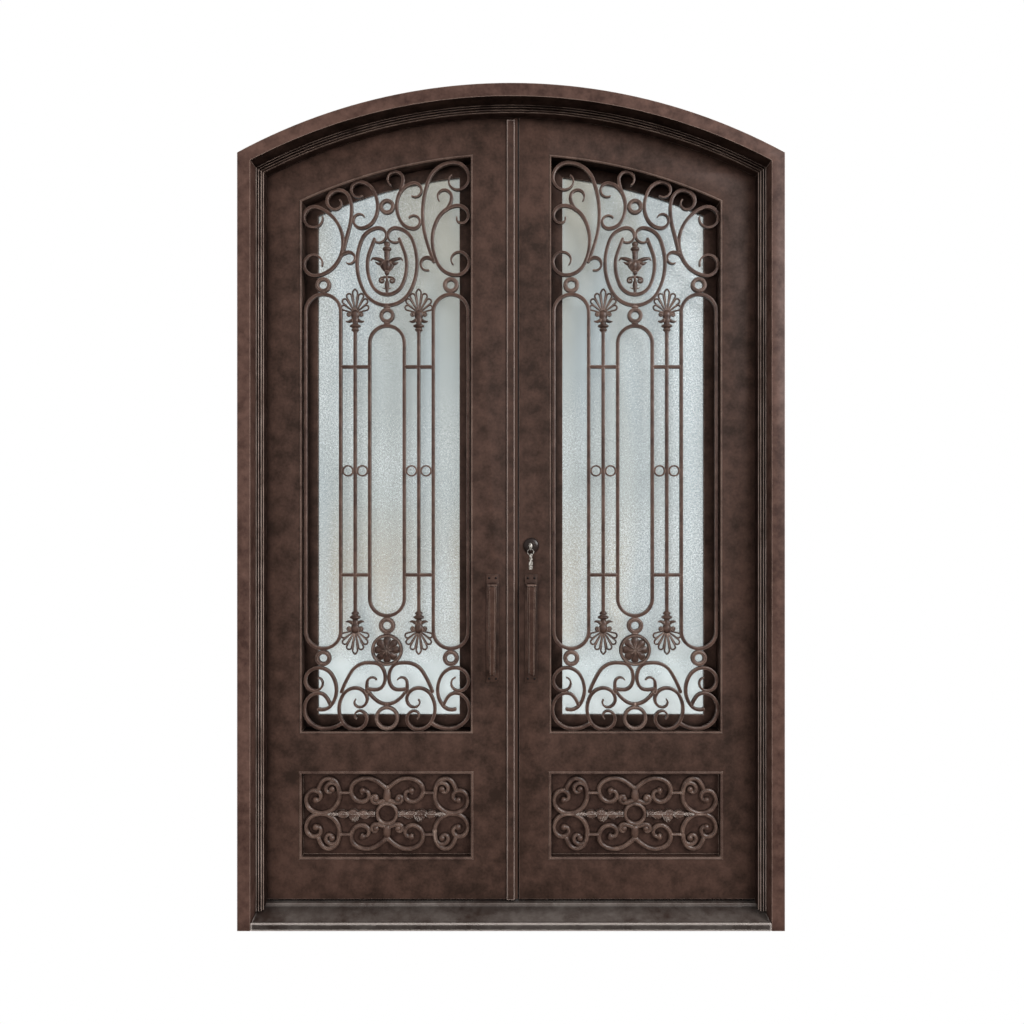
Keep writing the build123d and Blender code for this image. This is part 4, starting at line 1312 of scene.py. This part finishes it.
class IRONDOOR_OT_hinges(bpy.types.Operator):
    """Model the barrel hinges on the room side"""
    bl_idname = "iron_door.hinges"
    bl_label = "Hinges"

    def execute(self, context):
        half = knuckle_height / 2
        finial = ((-1, 6.5), (1.5, 6.5), (3, 4.6), (5, 5.2), (8, 4.2), (9.5, 1.2))
        for side in ("right", "left"):
            fixed, moving = bmesh.new(), bmesh.new()
            for middle in hinge_heights:
                lower, upper = (middle - 3 * half, middle - half), (middle + half, middle + 3 * half)
                for (low, high), way in ((lower, -1), (upper, 1)):
                    turned(fixed, pivot_x, pivot_y, knuckle(low, high, 5.2), count=28)
                    end = high if way > 0 else low
                    turned(fixed, pivot_x, pivot_y, [(end + way * up, radius) for up, radius in finial], count=24)
                    wing = rectangle(pivot_x, jamb_inside + 26, low + 0.5, high - 0.5)
                    merge(fixed, plate([wing], frame_back, frame_back + 4, 0.8))
                low, high = middle - half + 0.6, middle + half - 0.6
                turned(moving, pivot_x, pivot_y, knuckle(low, high, 5.3), count=28, closed=True)
                web = rectangle(pivot_x - 12, pivot_x - 7.4, low + 0.3, high - 0.3)
                merge(moving, plate([web], leaf_back, pivot_y, 0.8))
                wing = rectangle(pivot_x - 34, pivot_x - 8, low + 0.3, high - 0.3)
                merge(moving, plate([wing], leaf_back, leaf_back + 4, 0.8))
            for bm, body, what in ((fixed, "frame", "frame_hinges"), (moving, side + "_leaf", "leaf_hinges")):
                if side == "left":
                    bm.transform(mirror)
                make_piece(f"{side}_{what}_barrels", bm, cast_bronze(), body, (f"{side}_{what}",),
                           "hinge_steel", 35)
                bm.free()
        return {"FINISHED"}


def white_where_seen(tree, kind, shader, output):
    """Plain white where it is seen, directly or through glass, and the shader's light everywhere else."""
    white = add_node(tree, kind, {"Color": (1, 1, 1, 1), "Strength": 1.0})
    rays = add_node(tree, "LightPath").outputs
    seen = add_node(tree, "Math", {0: rays["Is Camera Ray"], 1: rays["Is Transmission Ray"]}, operation="MAXIMUM")
    mix = add_node(tree, "MixShader", {0: seen, 1: shader, 2: white})
    set_inputs(tree, tree.nodes[output], {"Surface": mix})


def floor_material():
    """Matt dark floor, so that it throws little light on the door; it shows as plain white."""
    material, tree, shader = new_material("Matt_floor")
    set_inputs(tree, shader, {"Base Color": rgba("4A4A4A"), "Roughness": 0.9})
    white_where_seen(tree, "Emission", shader, "Material Output")
    return material


def studio_world():
    """Soft daylight from all sides that shows as plain white."""
    world = bpy.data.worlds.new("studio")
    world.use_nodes = True
    light = world.node_tree.nodes["Background"]
    set_inputs(world.node_tree, light, {"Color": (1, 1, 1, 1), "Strength": 0.38})
    white_where_seen(world.node_tree, "Background", light, "World Output")
    return world


class IRONDOOR_OT_stage(bpy.types.Operator):
    """Set up the pale floor, soft light and the camera in front of the door"""
    bl_idname = "iron_door.stage"
    bl_label = "Stage"

    def execute(self, context):
        scene = context.scene
        floor = bpy.data.meshes.new("floor")
        floor.from_pydata([(-9, -9, 0), (9, -9, 0), (9, 9, 0), (-9, 9, 0)], [], [(0, 1, 2, 3)])
        ground = bpy.data.objects.new("floor", floor)
        scene.collection.objects.link(ground)
        floor.materials.append(floor_material())
        scene.world = studio_world()
        for name, spot, aim, size, power in lamps:
            lamp = bpy.data.lights.new(name, "AREA")
            lamp.size = size
            lamp.energy = power
            holder = bpy.data.objects.new(name, lamp)
            holder.location = spot
            holder.rotation_euler = (Vector(aim) - Vector(spot)).to_track_quat("-Z", "Y").to_euler()
            holder.visible_camera = False
            holder.visible_transmission = False
            holder.visible_glossy = name == "key"
            scene.collection.objects.link(holder)
        lens = bpy.data.cameras.new("view")
        lens.sensor_width = 36
        lens.lens = camera_lens
        lens.shift_x, lens.shift_y = camera_shift
        camera = bpy.data.objects.new("view", lens)
        camera.location = camera_place
        camera.rotation_euler = (pi / 2, 0, 0)
        scene.collection.objects.link(camera)
        scene.camera = camera
        scene.view_settings.view_transform = "Standard"
        return {"FINISHED"}


class IRONDOOR_PT_panel(bpy.types.Panel):
    """Buttons and settings of the iron door"""
    bl_idname = "IRONDOOR_PT_panel"
    bl_label = "Iron Door"
    bl_space_type = "VIEW_3D"
    bl_region_type = "UI"
    bl_category = "Iron Door"

    def draw(self, context):
        for operator in builders:
            self.layout.operator(operator.bl_idname)
        for name in IronDoorSettings.__annotations__:
            self.layout.prop(context.scene.iron_door, name)


builders = (IRONDOOR_OT_stage, IRONDOOR_OT_frame, IRONDOOR_OT_leaves, IRONDOOR_OT_windows, IRONDOOR_OT_grilles,
            IRONDOOR_OT_castings, IRONDOOR_OT_kick_panels, IRONDOOR_OT_pulls, IRONDOOR_OT_lock, IRONDOOR_OT_hinges)


def register():
    for cls in (IronDoorSettings, *builders, IRONDOOR_PT_panel):
        bpy.utils.register_class(cls)
    bpy.types.Scene.iron_door = PointerProperty(type=IronDoorSettings)


def unregister():
    del bpy.types.Scene.iron_door
    for cls in (IRONDOOR_PT_panel, *reversed(builders), IronDoorSettings):
        bpy.utils.unregister_class(cls)


def main():
    register()
    bpy.ops.iron_door.stage()
    bpy.ops.iron_door.frame()
    bpy.ops.iron_door.leaves()
    bpy.ops.iron_door.windows()
    bpy.ops.iron_door.grilles()
    bpy.ops.iron_door.castings()
    bpy.ops.iron_door.kick_panels()
    bpy.ops.iron_door.pulls()
    bpy.ops.iron_door.lock()
    bpy.ops.iron_door.hinges()


if __name__ == "__main__":
    main()
